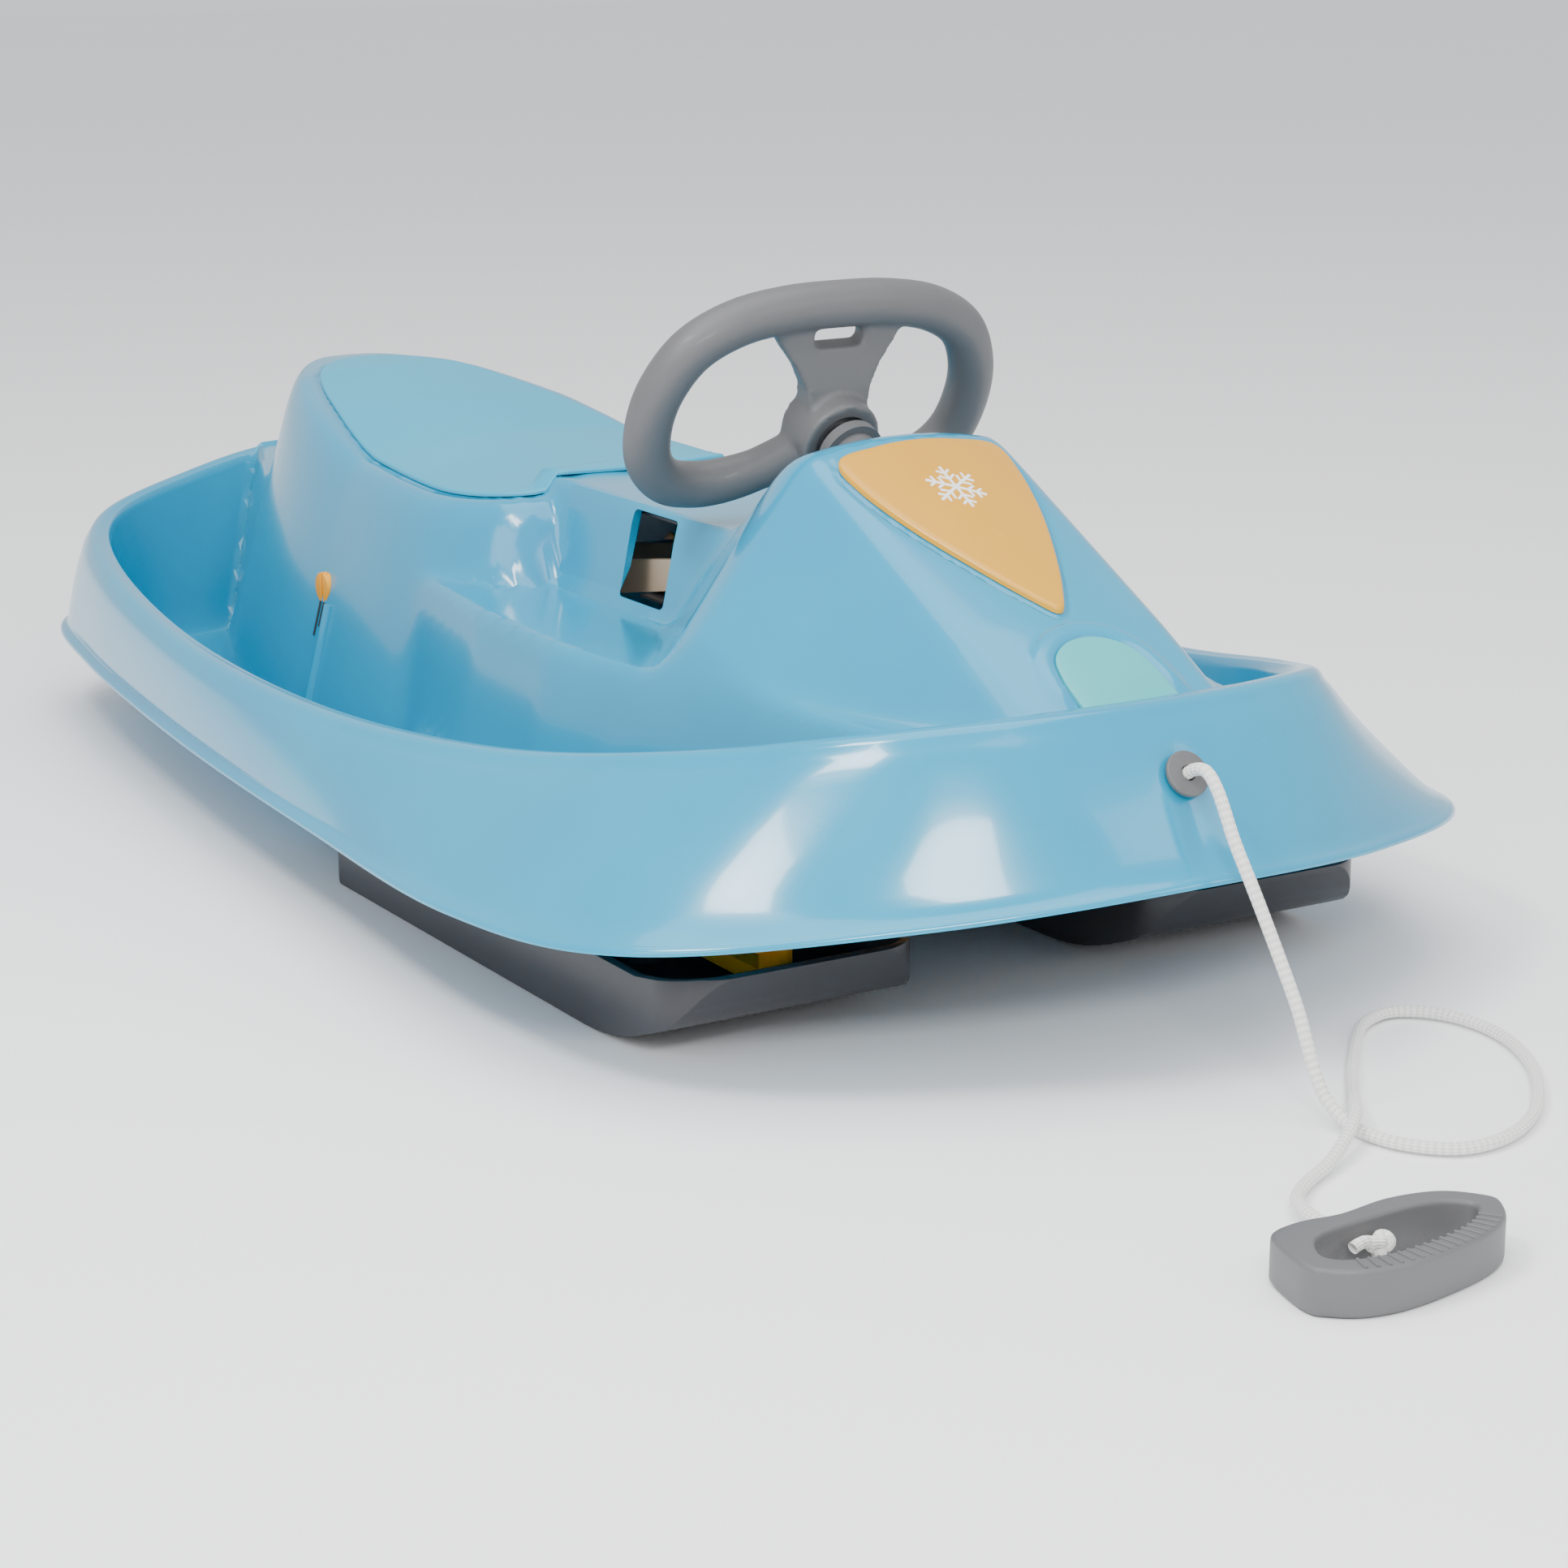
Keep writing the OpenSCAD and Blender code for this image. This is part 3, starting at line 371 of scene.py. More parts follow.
rope = {
    "diameter": 6, "sides": 20, "spacing": 1.1, "strandsRound": 6, "strandLength": 6.5, "relief": 0.03,
    "route": [[476, 0, 133], [484, 0, 138], [492, 0, 143], [501, 0, 144], [510, 0, 136], [522, 0, 117],
              [535, 2, 96], [548, 5, 72], [560, 8, 48], [570, 9, 26], [580, 10, 11], [598, 11, 4], [622, 16, 3.5],
              [640, 34, 3.5], [640, 60, 3.5], [626, 88, 3.5], [602, 114, 3.5], [570, 138, 3.5], [534, 152, 3.5],
              [502, 150, 3.5], [484, 132, 3.5], [490, 108, 3.5], [512, 84, 3.5], [538, 60, 3.5], [562, 40, 4],
              [582, 24, 8], [600, 9, 10.5], [614, -8, 8], [626, -27, 4.5], [635, -45, 3.5], [646, -60, 4.5],
              [660, -72, 7], [677, -80, 9.5], [693, -82.6, 10], [706, -80.4, 10]],
}


def evenly(path, spacing):
    gaps = np.linalg.norm(np.diff(path, axis=0), axis=1)
    along = np.concatenate([[0], np.cumsum(gaps)])
    count = max(2, int(round(along[-1] / spacing)) + 1)
    wanted = np.linspace(0, along[-1], count)
    return np.stack([np.interp(wanted, along, path[:, k]) for k in range(3)], 1), wanted


def ropeTube(name, path, diameter, sides, spacing, strands, strandLength, relief, start):
    path, along = evenly(arr(path), spacing)

    def braid(i, angle):
        u, v = along[i] / strandLength, angle * strands / (2 * np.pi)
        return 1 - relief + relief * np.sin(2 * np.pi * (u + v)) * np.sin(2 * np.pi * (u - v))

    points, faces = sweep(path, diameter / 2, sides, start=start, profile=braid)
    piece = meshObject(name, points, faces)
    layer = piece.data.uv_layers.new(name="braid")
    for loop in piece.data.loops:
        ring, k = divmod(loop.vertex_index, sides)
        layer.data[loop.index].uv = (along[ring] / strandLength, k * strands / sides)
    for face in piece.data.polygons:
        if len(face.vertices) == 4:
            ks = [layer.data[i].uv[1] for i in face.loop_indices]
            if max(ks) - min(ks) > strands / 2:
                for i in face.loop_indices:
                    if layer.data[i].uv[1] < strands / 2:
                        layer.data[i].uv = (layer.data[i].uv[0], layer.data[i].uv[1] + strands)
    piece.data.shade_smooth()
    return piece, path, along


ropeLine = smoothLine(rope["route"], 6)
towRope, ropePath, ropeAlong = ropeTube("rope", ropeLine, rope["diameter"], rope["sides"], rope["spacing"],
                                        rope["strandsRound"], rope["strandLength"], rope["relief"], (0, 1, 0))
settle(towRope, "rope_white", bodyOf["tow_rope"], "tow_rope")

handle = {"at": (724, -77), "turn": 100, "length": 112, "width": 58, "height": 20, "edge": 2.4, "ribs": 17}
turn = math.radians(handle["turn"])


def placed(points):
    # from the handle's own plan to the frame
    points = arr(points)
    x = handle["at"][0] + points[:, 0] * math.cos(turn) - points[:, 1] * math.sin(turn)
    y = handle["at"][1] + points[:, 0] * math.sin(turn) + points[:, 1] * math.cos(turn)
    return np.stack([x, y, points[:, 2]], 1)


knot = {"centre": (0, 6.5, 10), "size": 3.3, "thick": 5.4, "sides": 14, "spacing": 0.9, "cut": 18, "tailThick": 5.2,
        "tail": [(-1.5, 7, 10.5), (-5, 7.5, 12.5), (-9, 7.5, 13.5), (-12.5, 7.6, 13.2), (-15, 7.8, 12.4)]}


def knotTube(name, line, thick):
    return ropeTube(name, line, thick, knot["sides"], knot["spacing"], rope["strandsRound"], rope["strandLength"],
                    rope["relief"], (0, 0, 1))[0]


around = np.linspace(0, 2 * np.pi, 140, endpoint=False)
trefoil = np.stack([np.sin(around) + 1.35 * np.sin(2 * around), -0.9 * np.sin(3 * around),
                    np.cos(around) - 1.35 * np.cos(2 * around)], 1)
trefoil = trefoil * knot["size"] * 0.62 + arr(knot["centre"])
trefoil = np.roll(trefoil, -knot["cut"], axis=0)
ropeKnot = knotTube("knot", placed(np.concatenate([trefoil, trefoil[:3]])), knot["thick"])
ropeTail = knotTube("knot_tail", smoothLine(placed(knot["tail"]), 6), knot["tailThick"])
settle(ropeKnot, "rope_white", bodyOf["rope_knot"], "rope_knot")
settle(ropeTail, "rope_white", bodyOf["rope_knot"])

# tow handle, a rounded pointed ring

ringScale = (handle["length"] / 128, handle["width"] / 62)
ringOuter = arr([[-64, -4], [-62, -11], [-48, -24], [-22, -31], [20, -31], [46, -25], [62, -12], [64, -3], [52, 14],
                 [26, 24], [-6, 26], [-26, 31], [-44, 31], [-52, 24], [-61, 6]]) * ringScale
ringInner = arr([[-49, -3], [-38, -13], [-10, -19], [22, -19], [42, -13], [50, -4], [38, 7], [10, 13], [-28, 15],
                 [-42, 9]]) * ringScale


def byAngle(outline, angles):
    a = np.unwrap(np.arctan2(outline[:, 1], outline[:, 0]))
    order = np.argsort(a)
    a, outline = a[order], outline[order]
    a = np.concatenate([a - 2 * np.pi, a, a + 2 * np.pi])
    outline = np.concatenate([outline] * 3)
    return np.stack([np.interp(angles, a, outline[:, k]) for k in (0, 1)], 1)


angles = np.linspace(-np.pi, np.pi, 144, endpoint=False)
outerRing, innerRing = byAngle(smoothLoop(ringOuter, 10), angles), byAngle(smoothLoop(ringInner, 10), angles)
tall, edge = handle["height"], handle["edge"]
rounding = [(edge * (1 - math.cos(math.pi / 8 * k)), tall - edge + edge * math.sin(math.pi / 8 * k)) for k in range(5)]
# each row: share of the way from the outer to the inner line, shift, height
half = [(0, shift, rise) for shift, rise in rounding] + [(0.3, 0, tall), (0.5, 0, tall), (0.7, 0, tall)]
half += [(1, -shift, rise) for shift, rise in reversed(rounding)]
section = half + [(share, shift, tall - rise) for share, shift, rise in reversed(half)]
wide = unit(innerRing - outerRing)
ringPoints = []
for share, shift, rise in section:
    plan = outerRing + (innerRing - outerRing) * share + wide * shift
    ringPoints.append(np.concatenate([plan, np.full((len(plan), 1), rise)], 1))
ringPoints = arr(ringPoints).transpose(1, 0, 2)
pullHandle = meshObject("pull_handle", placed(ringPoints.reshape(-1, 3)),
                        gridFaces(len(angles), len(section), loopRows=True, loopColumns=True))
tidyMesh(pullHandle, angle=50)
settle(pullHandle, "grey_plastic", bodyOf["tow_handle"], "tow_handle")

tuple(ropePath[0] * mm)
rope["diameter"] * mm
[tuple(p * mm) for p in ropePath[::3]] + [tuple(ropePath[-1] * mm)]
print("rope", round(float(ropeAlong[-1]), 1), "mm long")

# hull

hull = {
    "thick": 3.6, "ledge": 150, "floorRear": 34, "floorFront": 68, "seatFront": 198,
    "seatHalf": 100, "hoodHalf": 56, "wallSlope": 5, "bowSteps": 44, "sideSteps": 22,
    "skirt": [[510, 0, 95], [474, 125, 84], [397, 236, 70], [274, 262, 61], [85, 250, 56], [-127, 233, 54],
              [-338, 206, 54], [-465, 172, 53], [-502, 95, 51], [-510, 0, 50]],
    "rim": [[455, 0, 168], [427, 110, 163], [332, 176, 141], [208, 207, 120], [47, 223, 108], [-141, 219, 107],
            [-327, 192, 115], [-445, 150, 124], [-489, 85, 136], [-504, 0, 149]],
    "ledgeHalf": [[-520, 16], [-453, 42], [-400, 62], [-363, 74], [-253, 93], [-106, 112], [49, 134], [139, 139],
                  [185, 134], [260, 124], [340, 110], [430, 88], [520, 70]],
    "hoodLine": [[96, 120], [130, 158], [165, 196], [200, 226], [232, 255], [252, 262], [275, 251], [390, 194],
                 [452, 160], [480, 140], [520, 110]],
    "seatLine": [[-450, 214], [-400, 222], [-340, 221], [-260, 212], [-180, 199], [-80, 197], [0, 198], [60, 198]],
    "skirtRings": [[0, 5, 0], [0, 5, 1.2], [0, 4.4, 2.4], [0, 3.4, 3.3], [0, 2.2, 3.9], [0, 1.1, 4.4], [0.02, 0.6, 4.4],
                   [0.06, 0.9, 3.0], [0.12, 1.5, 1.4], [0.2, 2.1, 0.4], [0.3, 2.5, 0], [0.4, 2.8, 0], [0.5, 2.95, 0],
                   [0.62, 3, 0], [0.72, 2.8, 0], [0.82, 2.4, 0], [0.9, 2, 0], [0.96, 1.0, 0]],
    "crestRings": [[11, -5], [9.9, -3.2], [8.8, -1.9], [7.6, -1.0], [6.4, -0.45], [5.2, -0.1], [4, 0], [2.8, -0.1],
                   [1.7, -0.3], [0.8, -0.6]],
    "wallRings": [1.2, 2.2, 3.2, 4.2, 5.4, 6.8, 8.2, 9.6, 11, 12.4, 13.8, 15.2, 16.6, 18, 19.6, 21.4, 23.4, 25.6],
    "floorRings": 84, "window": [80, 126, 156, 202], "grommet": (484, 0, 138), "grommetTilt": 57,
    "hub": (167, 0, 262), "tilt": 24, "pivot": (-180, 0, 120), "seatSpan": (-410, 6), "seatRound": (2.1, 4),
}
padHalf = [[-376, 0], [-366, 27], [-332, 51], [-270, 70], [-190, 86], [-100, 94], [-50, 90], [-20, 70], [-8, 35],
           [-4, 0]]
coverHalf = [[262, 0], [263, 24], [266, 46], [286, 47], [318, 38], [350, 24], [376, 10], [388, 0]]
panelHalf = [[406, 0], [408, 12], [415, 22], [427, 26], [440, 27], [449.5, 27], [451.5, 25.5], [452, 20], [452, 0]]
padLine = smoothLoop(mirrorHalf(padHalf), 6)
coverLine = smoothLoop(mirrorHalf(coverHalf), 8)
panelLine = smoothLoop(mirrorHalf(panelHalf), 8)


def smoothMax(a, b, k):
    return np.maximum(a, b) + np.maximum(k - np.abs(a - b), 0) ** 2 / (4 * k)


def smoothMin(a, b, k):
    return -smoothMax(-arr(a), -arr(b), k)


def alongTable(x, table):
    table = arr(table)
    return np.interp(x, table[:, 0], table[:, 1])


def softTable(x, table):
    # the table with its corners eased
    return sum(alongTable(x + d, table) * w for d, w in ((-8, 1), (-4, 2), (0, 3), (4, 2), (8, 1))) / 9


def ramp(x, low, high):
    t = np.clip((x - low) / (high - low), 0, 1)
    return t * t * (3 - 2 * t)


def bodyHeight(x, y):
    x, y = arr(x), arr(y)
    slope, ledgeEdge = hull["wallSlope"], softTable(x, hull["ledgeHalf"]) - np.abs(y)
    ledge = smoothMin(hull["ledge"], hull["ledge"] + slope * ledgeEdge, 16)
    half = hull["seatHalf"] + 0.1 * (x + 190)
    middle, span = sum(hull["seatSpan"]) / 2, (hull["seatSpan"][1] - hull["seatSpan"][0]) / 2
    n = np.where(x > middle, hull["seatRound"][1], hull["seatRound"][0])
    u, v = np.abs(x - middle) / span, np.abs(y) / half
    q = (u ** n + v ** n) ** (1 / n) + 1e-6
    edge = (1 - q) / np.hypot((u / q) ** (n - 1) / span, (v / q) ** (n - 1) / half)
    top = softTable(x, hull["seatLine"]) - 7 * (y / hull["seatHalf"]) ** 2
    seat = smoothMin(top, top + 3.6 * edge, 26)
    bridgeTop = hull["seatFront"] + 7
    bridge = smoothMin(bridgeTop, bridgeTop + slope * np.minimum(56 - np.abs(y), np.minimum(x + 30, 200 - x)), 16)
    line = softTable(x, hull["hoodLine"])
    hood = smoothMin(line - 6 * (y / hull["hoodHalf"]) ** 2, line - 6 - 1.35 * (np.abs(y) - hull["hoodHalf"]), 7)
    hood = smoothMin(hood, hull["ledge"] + slope * ledgeEdge, 20)
    return smoothMax(smoothMax(ledge, seat, 14), smoothMax(bridge, hood, 14), 14)


def deckHeight(x, y, d, rimZ):
    floorZ = hull["floorRear"] + (hull["floorFront"] - hull["floorRear"]) * ramp(x, -70, -12)
    wall = smoothMax(rimZ - 1 - hull["wallSlope"] * np.maximum(d - 3, 0), floorZ, 26)
    return smoothMax(wall, bodyHeight(x, y), 12)


def groove(distance, width, depth):
    return -depth * np.exp(-(distance / width) ** 2)


def marks(x, y):
    # seams round the inserts, and the raised arch round the winder panel
    z = np.zeros(np.shape(x))
    near = (x > -410) & (x < 20) & (np.abs(y) < 115)
    z[near] += groove(outlineDistance(x[near], y[near], padLine) - 1.6, 1.5, 1.2)
    near = (x > 245) & (x < 405) & (np.abs(y) < 65)
    z[near] += groove(outlineDistance(x[near], y[near], coverLine) - 1.5, 1.5, 1.5)
    near = (x > 385) & (x < 470) & (np.abs(y) < 50)
    d = outlineDistance(x[near], y[near], panelLine)
    arch = ramp(d, -1, 1.5) * (1 - ramp(d, 7, 13)) * (1 - ramp(x[near], 432, 446))
    z[near] += 3.2 * arch + groove(d - 0.8, 1.3, 0.9) * (1 - ramp(x[near], 436, 448))
    return z


stationSteps = [hull["sideSteps"]] * 18
stationSteps[0] = stationSteps[17] = hull["bowSteps"]
skirtLine = smoothLoop(mirrorHalf(hull["skirt"]), stationSteps)
rimLine = smoothLoop(mirrorHalf(hull["rim"]), stationSteps)
stations = len(rimLine)
edgeWay = unit((np.roll(skirtLine, -1, axis=0) - np.roll(skirtLine, 1, axis=0))[:, :2])
outward = np.stack([-edgeWay[:, 1], edgeWay[:, 0], np.zeros(stations)], 1)
outward *= np.sign((edgeWay[:, 0] * skirtLine[:, 1] - edgeWay[:, 1] * skirtLine[:, 0]))[:, None]
up = arr([0, 0, 1])
skirtTop = rimLine + 11 * outward - 5 * up
bowDent = np.exp(-(skirtLine[:, 1] / 9) ** 2) * (skirtLine[:, 0] > 0)
rings = []
for share, out, rise in hull["skirtRings"]:
    dent = 2.6 * bowDent * min(share * 6, 1) * (1 - ramp(share, 0.5, 0.92))
    rings.append(skirtLine + (skirtTop - skirtLine) * share + (out - dent)[:, None] * outward + rise * up)
for out, rise in hull["crestRings"]:
    rings.append(rimLine + out * outward + rise * up)
middle = np.stack([rimLine[:, 0] * 0.8, np.zeros(stations)], 1)
reach = np.linalg.norm(middle - rimLine[:, :2], axis=1)
way = (middle - rimLine[:, :2]) / reach[:, None]
spans = [np.full(stations, d) for d in hull["wallRings"]]
start = hull["wallRings"][-1]
spans += [start + (reach - start) * (k + 1) / hull["floorRings"] for k in range(hull["floorRings"])]
for d in spans:
    x, y = rimLine[:, 0] + way[:, 0] * d, rimLine[:, 1] + way[:, 1] * d
    if d is spans[-1]:
        y = np.zeros(stations)
    z = deckHeight(x, y, d, rimLine[:, 2]) + marks(x, y)
    rings.append(np.stack([x, y, z], 1))
outer = arr(rings).transpose(1, 0, 2)
ringCount = outer.shape[1]
print("hull skin", stations, "by", ringCount)

dAlong = np.roll(outer, -1, axis=0) - np.roll(outer, 1, axis=0)
dAcross = np.gradient(outer, axis=1)
normal = unit(np.cross(dAlong, dAcross))
normal[:, -1] = up
# the first twenty rings face outward, the rest upward
normal *= np.where((normal[:, :, 2:3] < 0) & (np.arange(ringCount)[None, :, None] > 20), -1, 1)
normal[:, :20] *= np.sign(np.sum(normal[:, :20] * outward[:, None], axis=2, keepdims=True) + 1e-9)
keptRings = [*range(0, 28, 4), *range(28, 46, 3), *range(46, ringCount - 1, 4), ringCount - 1]  # fewer rings inside
inner = (outer - hull["thick"] * normal)[:, keptRings]
inner[:, 0] = outer[:, 0] - hull["thick"] * outward
inner[:, -1, 1] = 0
points = np.concatenate([outer.reshape(-1, 3), inner.reshape(-1, 3)])
faces = gridFaces(stations, ringCount, loopRows=True)
shift, few = stations * ringCount, len(keptRings)
faces += [tuple(i + shift for i in reversed(f)) for f in gridFaces(stations, few, loopRows=True)]
for i in range(stations):
    j = (i + 1) % stations
    faces.append((i * ringCount, j * ringCount, shift + j * few, shift + i * few))
hullShell = meshObject("hull", points, faces)
tidyMesh(hullShell, merge=2e-5)

tiltDown = math.radians(hull["tilt"])
hub = arr(hull["hub"])
drive = arr([math.cos(tiltDown), 0, -math.sin(tiltDown)])
wheelUp = arr([math.sin(tiltDown), 0, math.cos(tiltDown)])


def roundRectangle(x0, x1, z0, z1, corner, steps=6):
    points = []
    for cx, cz, a0 in ((x1 - corner, z1 - corner, 0), (x0 + corner, z1 - corner, 90), (x0 + corner, z0 + corner, 180),
                       (x1 - corner, z0 + corner, 270)):
        for k in range(steps + 1):
            a = math.radians(a0 + 90 * k / steps)
            points.append((cx + corner * math.cos(a), cz + corner * math.sin(a)))
    return points


def windowCutter(side):
    outline = roundRectangle(*hull["window"], 3)
    near, far = side * 42, side * 74
    points = [(x, near, z) for x, z in outline] + [(x, far, z) for x, z in outline]
    count = len(outline)
    faces = [tuple(range(count)), tuple(range(2 * count - 1, count - 1, -1))]
    faces += [(i, i + count, (i + 1) % count + count, (i + 1) % count) for i in range(count)]
    return meshObject("window_cut", points, faces)


def rodBetween(a, b, radius, sides=40):
    a, b = arr(a), arr(b)
    start = (0, 1, 0) if abs(b[1] - a[1]) < 1 else (1, 0, 0)
    return sweep([a + (b - a) * t for t in (0, 0.5, 1)], radius, sides, start=start)


grommetTurn = math.radians(hull["grommetTilt"])
grommetWay = arr([math.sin(grommetTurn), 0, math.cos(grommetTurn)])
grommetAt = arr(hull["grommet"])
pivot = arr(hull["pivot"])
cutters = [windowCutter(1), windowCutter(-1),
           meshObject("c", *rodBetween(hub + drive * 30, hub + drive * 76, 13.5)),
           meshObject("c", *rodBetween(pivot - (0, 160, 0), pivot + (0, 160, 0), 5.6)),
           meshObject("c", *rodBetween(grommetAt - grommetWay * 22, grommetAt + grommetWay * 12, 8.4))]
cutWith(hullShell, cutters)
tidyMesh(hullShell, merge=1e-6, angle=42)
settle(hullShell, "hull_blue", "hull", "hull_shell")
print("hull", len(hullShell.data.polygons), "faces")

# inserts laid on the hull


def insert(name, outline, middleX, base, thick, round, rings, finish, node, across=0.9):
    outline = arr(outline)
    count, layers = len(outline), []
    shrink = [(0, base), (0, thick - round)]
    shrink += [(round * (1 - math.cos(a)), thick - round + round * math.sin(a))
               for a in (math.pi / 8, math.pi / 4, 3 * math.pi / 8, math.pi / 2)]
    nxt, prv = np.roll(outline, -1, axis=0), np.roll(outline, 1, axis=0)
    t = unit(nxt - prv)
    inward = np.stack([-t[:, 1], t[:, 0]], 1)
    centre = outline.mean(axis=0)
    inward *= np.sign(np.sum(inward * (centre - outline), axis=1, keepdims=True))
    for inset, rise in shrink:
        p = outline + inward * inset
        layers.append(np.stack([p[:, 0], p[:, 1], bodyHeight(p[:, 0], p[:, 1]) + rise], 1))
    edge = outline + inward * shrink[-1][0]
    for k in range(1, rings + 1):
        s = k / rings
        x, y = edge[:, 0] + (middleX - edge[:, 0]) * s * across, edge[:, 1] * (1 - s)
        layers.append(np.stack([x, y, bodyHeight(x, y) + thick], 1))
    top = arr(layers).transpose(1, 0, 2)
    under = top[:, 6:].copy()
    under[:, :, 2] += base - thick
    columns = top.shape[1]
    points = np.concatenate([top.reshape(-1, 3), under.reshape(-1, 3)])
    faces = gridFaces(count, columns, loopRows=True)
    shift, few = count * columns, under.shape[1]
    faces += [tuple(i + shift for i in reversed(f)) for f in gridFaces(count, few, loopRows=True)]
    for i in range(count):
        j = (i + 1) % count
        faces.append((i * columns, j * columns, shift + j * few, shift + i * few))
    piece = meshObject(name, points, faces)
    tidyMesh(piece, merge=2e-5, angle=60)
    return settle(piece, finish, "hull", node)


insert("seat_shield", padLine, -200, 0.3, 2.6, 1.4, 26, "pad_light_blue", "seat_pad")
insert("hood_badge_panel", coverLine, 320, 0.3, 3.4, 1.5, 16, "cover_yellow", "hood_cover")
insert("winder_panel", panelLine, 425, 0.3, 2.6, 0.8, 10, "cover_teal", "winder_cover")
print("inserts laid")

# steering wheel, fused from its rim, web and arms

wheel = {
    "rimRadius": 12.2, "voxel": 1.5,
    "rim": [[14, -12, 16], [30, -26.5, 9], [48, -36.2, 3], [66, -39, 0], [84, -34.4, 0], [97, -20, 0], [101, 2, 0],
            [97, 23, 0], [84, 43, 0], [60, 56, 0], [30, 61.5, 0], [0, 62.5, 0]],
    "web": [[-10, 15, 17, 8.5], [0, 17, 17, 8.5], [12, 18, 16, 8], [24, 20, 13, 7], [34, 26, 9, 6], [43, 34, 5, 5.5]],
    "legs": [[43, 15, 34, 5, 5.5], [50, 15, 39, 3, 5.5], [56, 17, 44, 1, 5], [62, 20, 46, 0, 5]],
    "narrow": 96 / 101, "arm": [[6, -2, 17], [14, -12, 16], [22, -20, 12.5], [30, -27, 9]], "armRadius": 11.5,
    "boss": (6, 33, 22), "bore": (3.5, 40, 15.8),
}


def onWheel(points):
    points = arr(points)
    return hub + points[:, :1] * arr([0, wheel["narrow"], 0]) + points[:, 1:2] * wheelUp + points[:, 2:3] * drive


def plate(rows):
    # rows of (up, inner, outer, along, half thickness)
    points, faces = [], []
    for u, a, b, s, t in rows:
        points += [(a, u, s - t), (b, u, s - t), (b, u, s + t), (a, u, s + t)]
    for i in range(len(rows) - 1):
        for k in range(4):
            n = (k + 1) % 4
            faces.append((4 * i + k, 4 * i + n, 4 * i + 4 + n, 4 * i + 4 + k))
    last = 4 * (len(rows) - 1)
    return onWheel(points), faces + [(3, 2, 1, 0), (last, last + 1, last + 2, last + 3)]


rimHalf = arr(wheel["rim"])
rimPath = smoothLine(np.concatenate([rimHalf, [[-a, u, s] for a, u, s in rimHalf[-2::-1]]]), 8)
# the rim thins a little where it turns in to the boss
rimTube = sweep(onWheel(rimPath), wheel["rimRadius"] - np.minimum(rimPath[:, 2], 12) * 0.15, 28, start=drive)


def axleRod(start, end, radius, sides):
    return rodBetween(hub + drive * start, hub + drive * end, radius, sides)


wheelParts = [rimTube, plate([(u, -h, h, s, t) for u, h, s, t in wheel["web"]]),
              plate(wheel["legs"]), plate([(u, -b, -a, s, t) for u, a, b, s, t in wheel["legs"]]),
              axleRod(*wheel["boss"], 56)]
for side in (-1, 1):
    arm = smoothLine([[side * a, u, s] for a, u, s in wheel["arm"]], 6)
    wheelParts.append(sweep(onWheel(arm), wheel["armRadius"], 20, start=drive))
steeringWheel = meshObject("wheel", *joined(wheelParts))
tidyMesh(steeringWheel, smooth=False)
fuse = steeringWheel.modifiers.new("fuse", "REMESH")
fuse.mode, fuse.voxel_size, fuse.use_smooth_shade = "VOXEL", wheel["voxel"] * mm, True
ease = steeringWheel.modifiers.new("ease", "SMOOTH")
ease.factor, ease.iterations = 0.5, 8
applyAll(steeringWheel)
cutWith(steeringWheel, [meshObject("c", *axleRod(*wheel["bore"], 48))])
tidyMesh(steeringWheel, merge=1e-6, angle=50)
settle(steeringWheel, "grey_plastic", "wheel", "steering_wheel")
print("wheel", len(steeringWheel.data.polygons), "faces")

# parts that keep their frame shape but get moulded edges


def softened(node, name, finish, width, segments=2, angle=32):
    mesh = nodes[node].data.copy()
    piece = bpy.data.objects.new(name, mesh)
    bpy.context.collection.objects.link(piece)
    bm = bmesh.new()
    bm.from_mesh(mesh)
    bmesh.ops.remove_doubles(bm, verts=bm.verts, dist=2e-5)
    bmesh.ops.dissolve_limit(bm, angle_limit=math.radians(0.6), verts=bm.verts, edges=bm.edges)
    bmesh.ops.recalc_face_normals(bm, faces=bm.faces)
    bm.to_mesh(mesh)
    bm.free()
    bevel = piece.modifiers.new("edges", "BEVEL")
    bevel.width, bevel.segments, bevel.limit_method = width * mm, segments, "ANGLE"
    bevel.angle_limit, bevel.use_clamp_overlap, bevel.harden_normals = math.radians(angle), True, False
    applyAll(piece)
    for layer in list(piece.data.uv_layers):
        piece.data.uv_layers.remove(layer)
    piece.data.shade_smooth()
    piece.data.set_sharp_from_angle(angle=math.radians(38))
    return settle(piece, finish, bodyOf[node], node)


# node, piece, finish, edge width, segments
for row in (("ski_left", "left_ski_blade", "ski_black", 1.2), ("ski_right", "right_ski_blade", "ski_black", 1.2),
            ("rear_runner_left", "left_runner", "hull_blue", 1.2),
            ("rear_runner_right", "right_runner", "hull_blue", 1.2),
            ("rope_grommet", "rope_eyelet", "grey_plastic", 0.7, 3),
            ("snap_pin_left", "left_snap_pin", "link_yellow", 0.9, 3),
            ("snap_pin_right", "right_snap_pin", "link_yellow", 0.9, 3)):
    softened(*row)
print("edges softened")

# small repeated shapes come from one tree


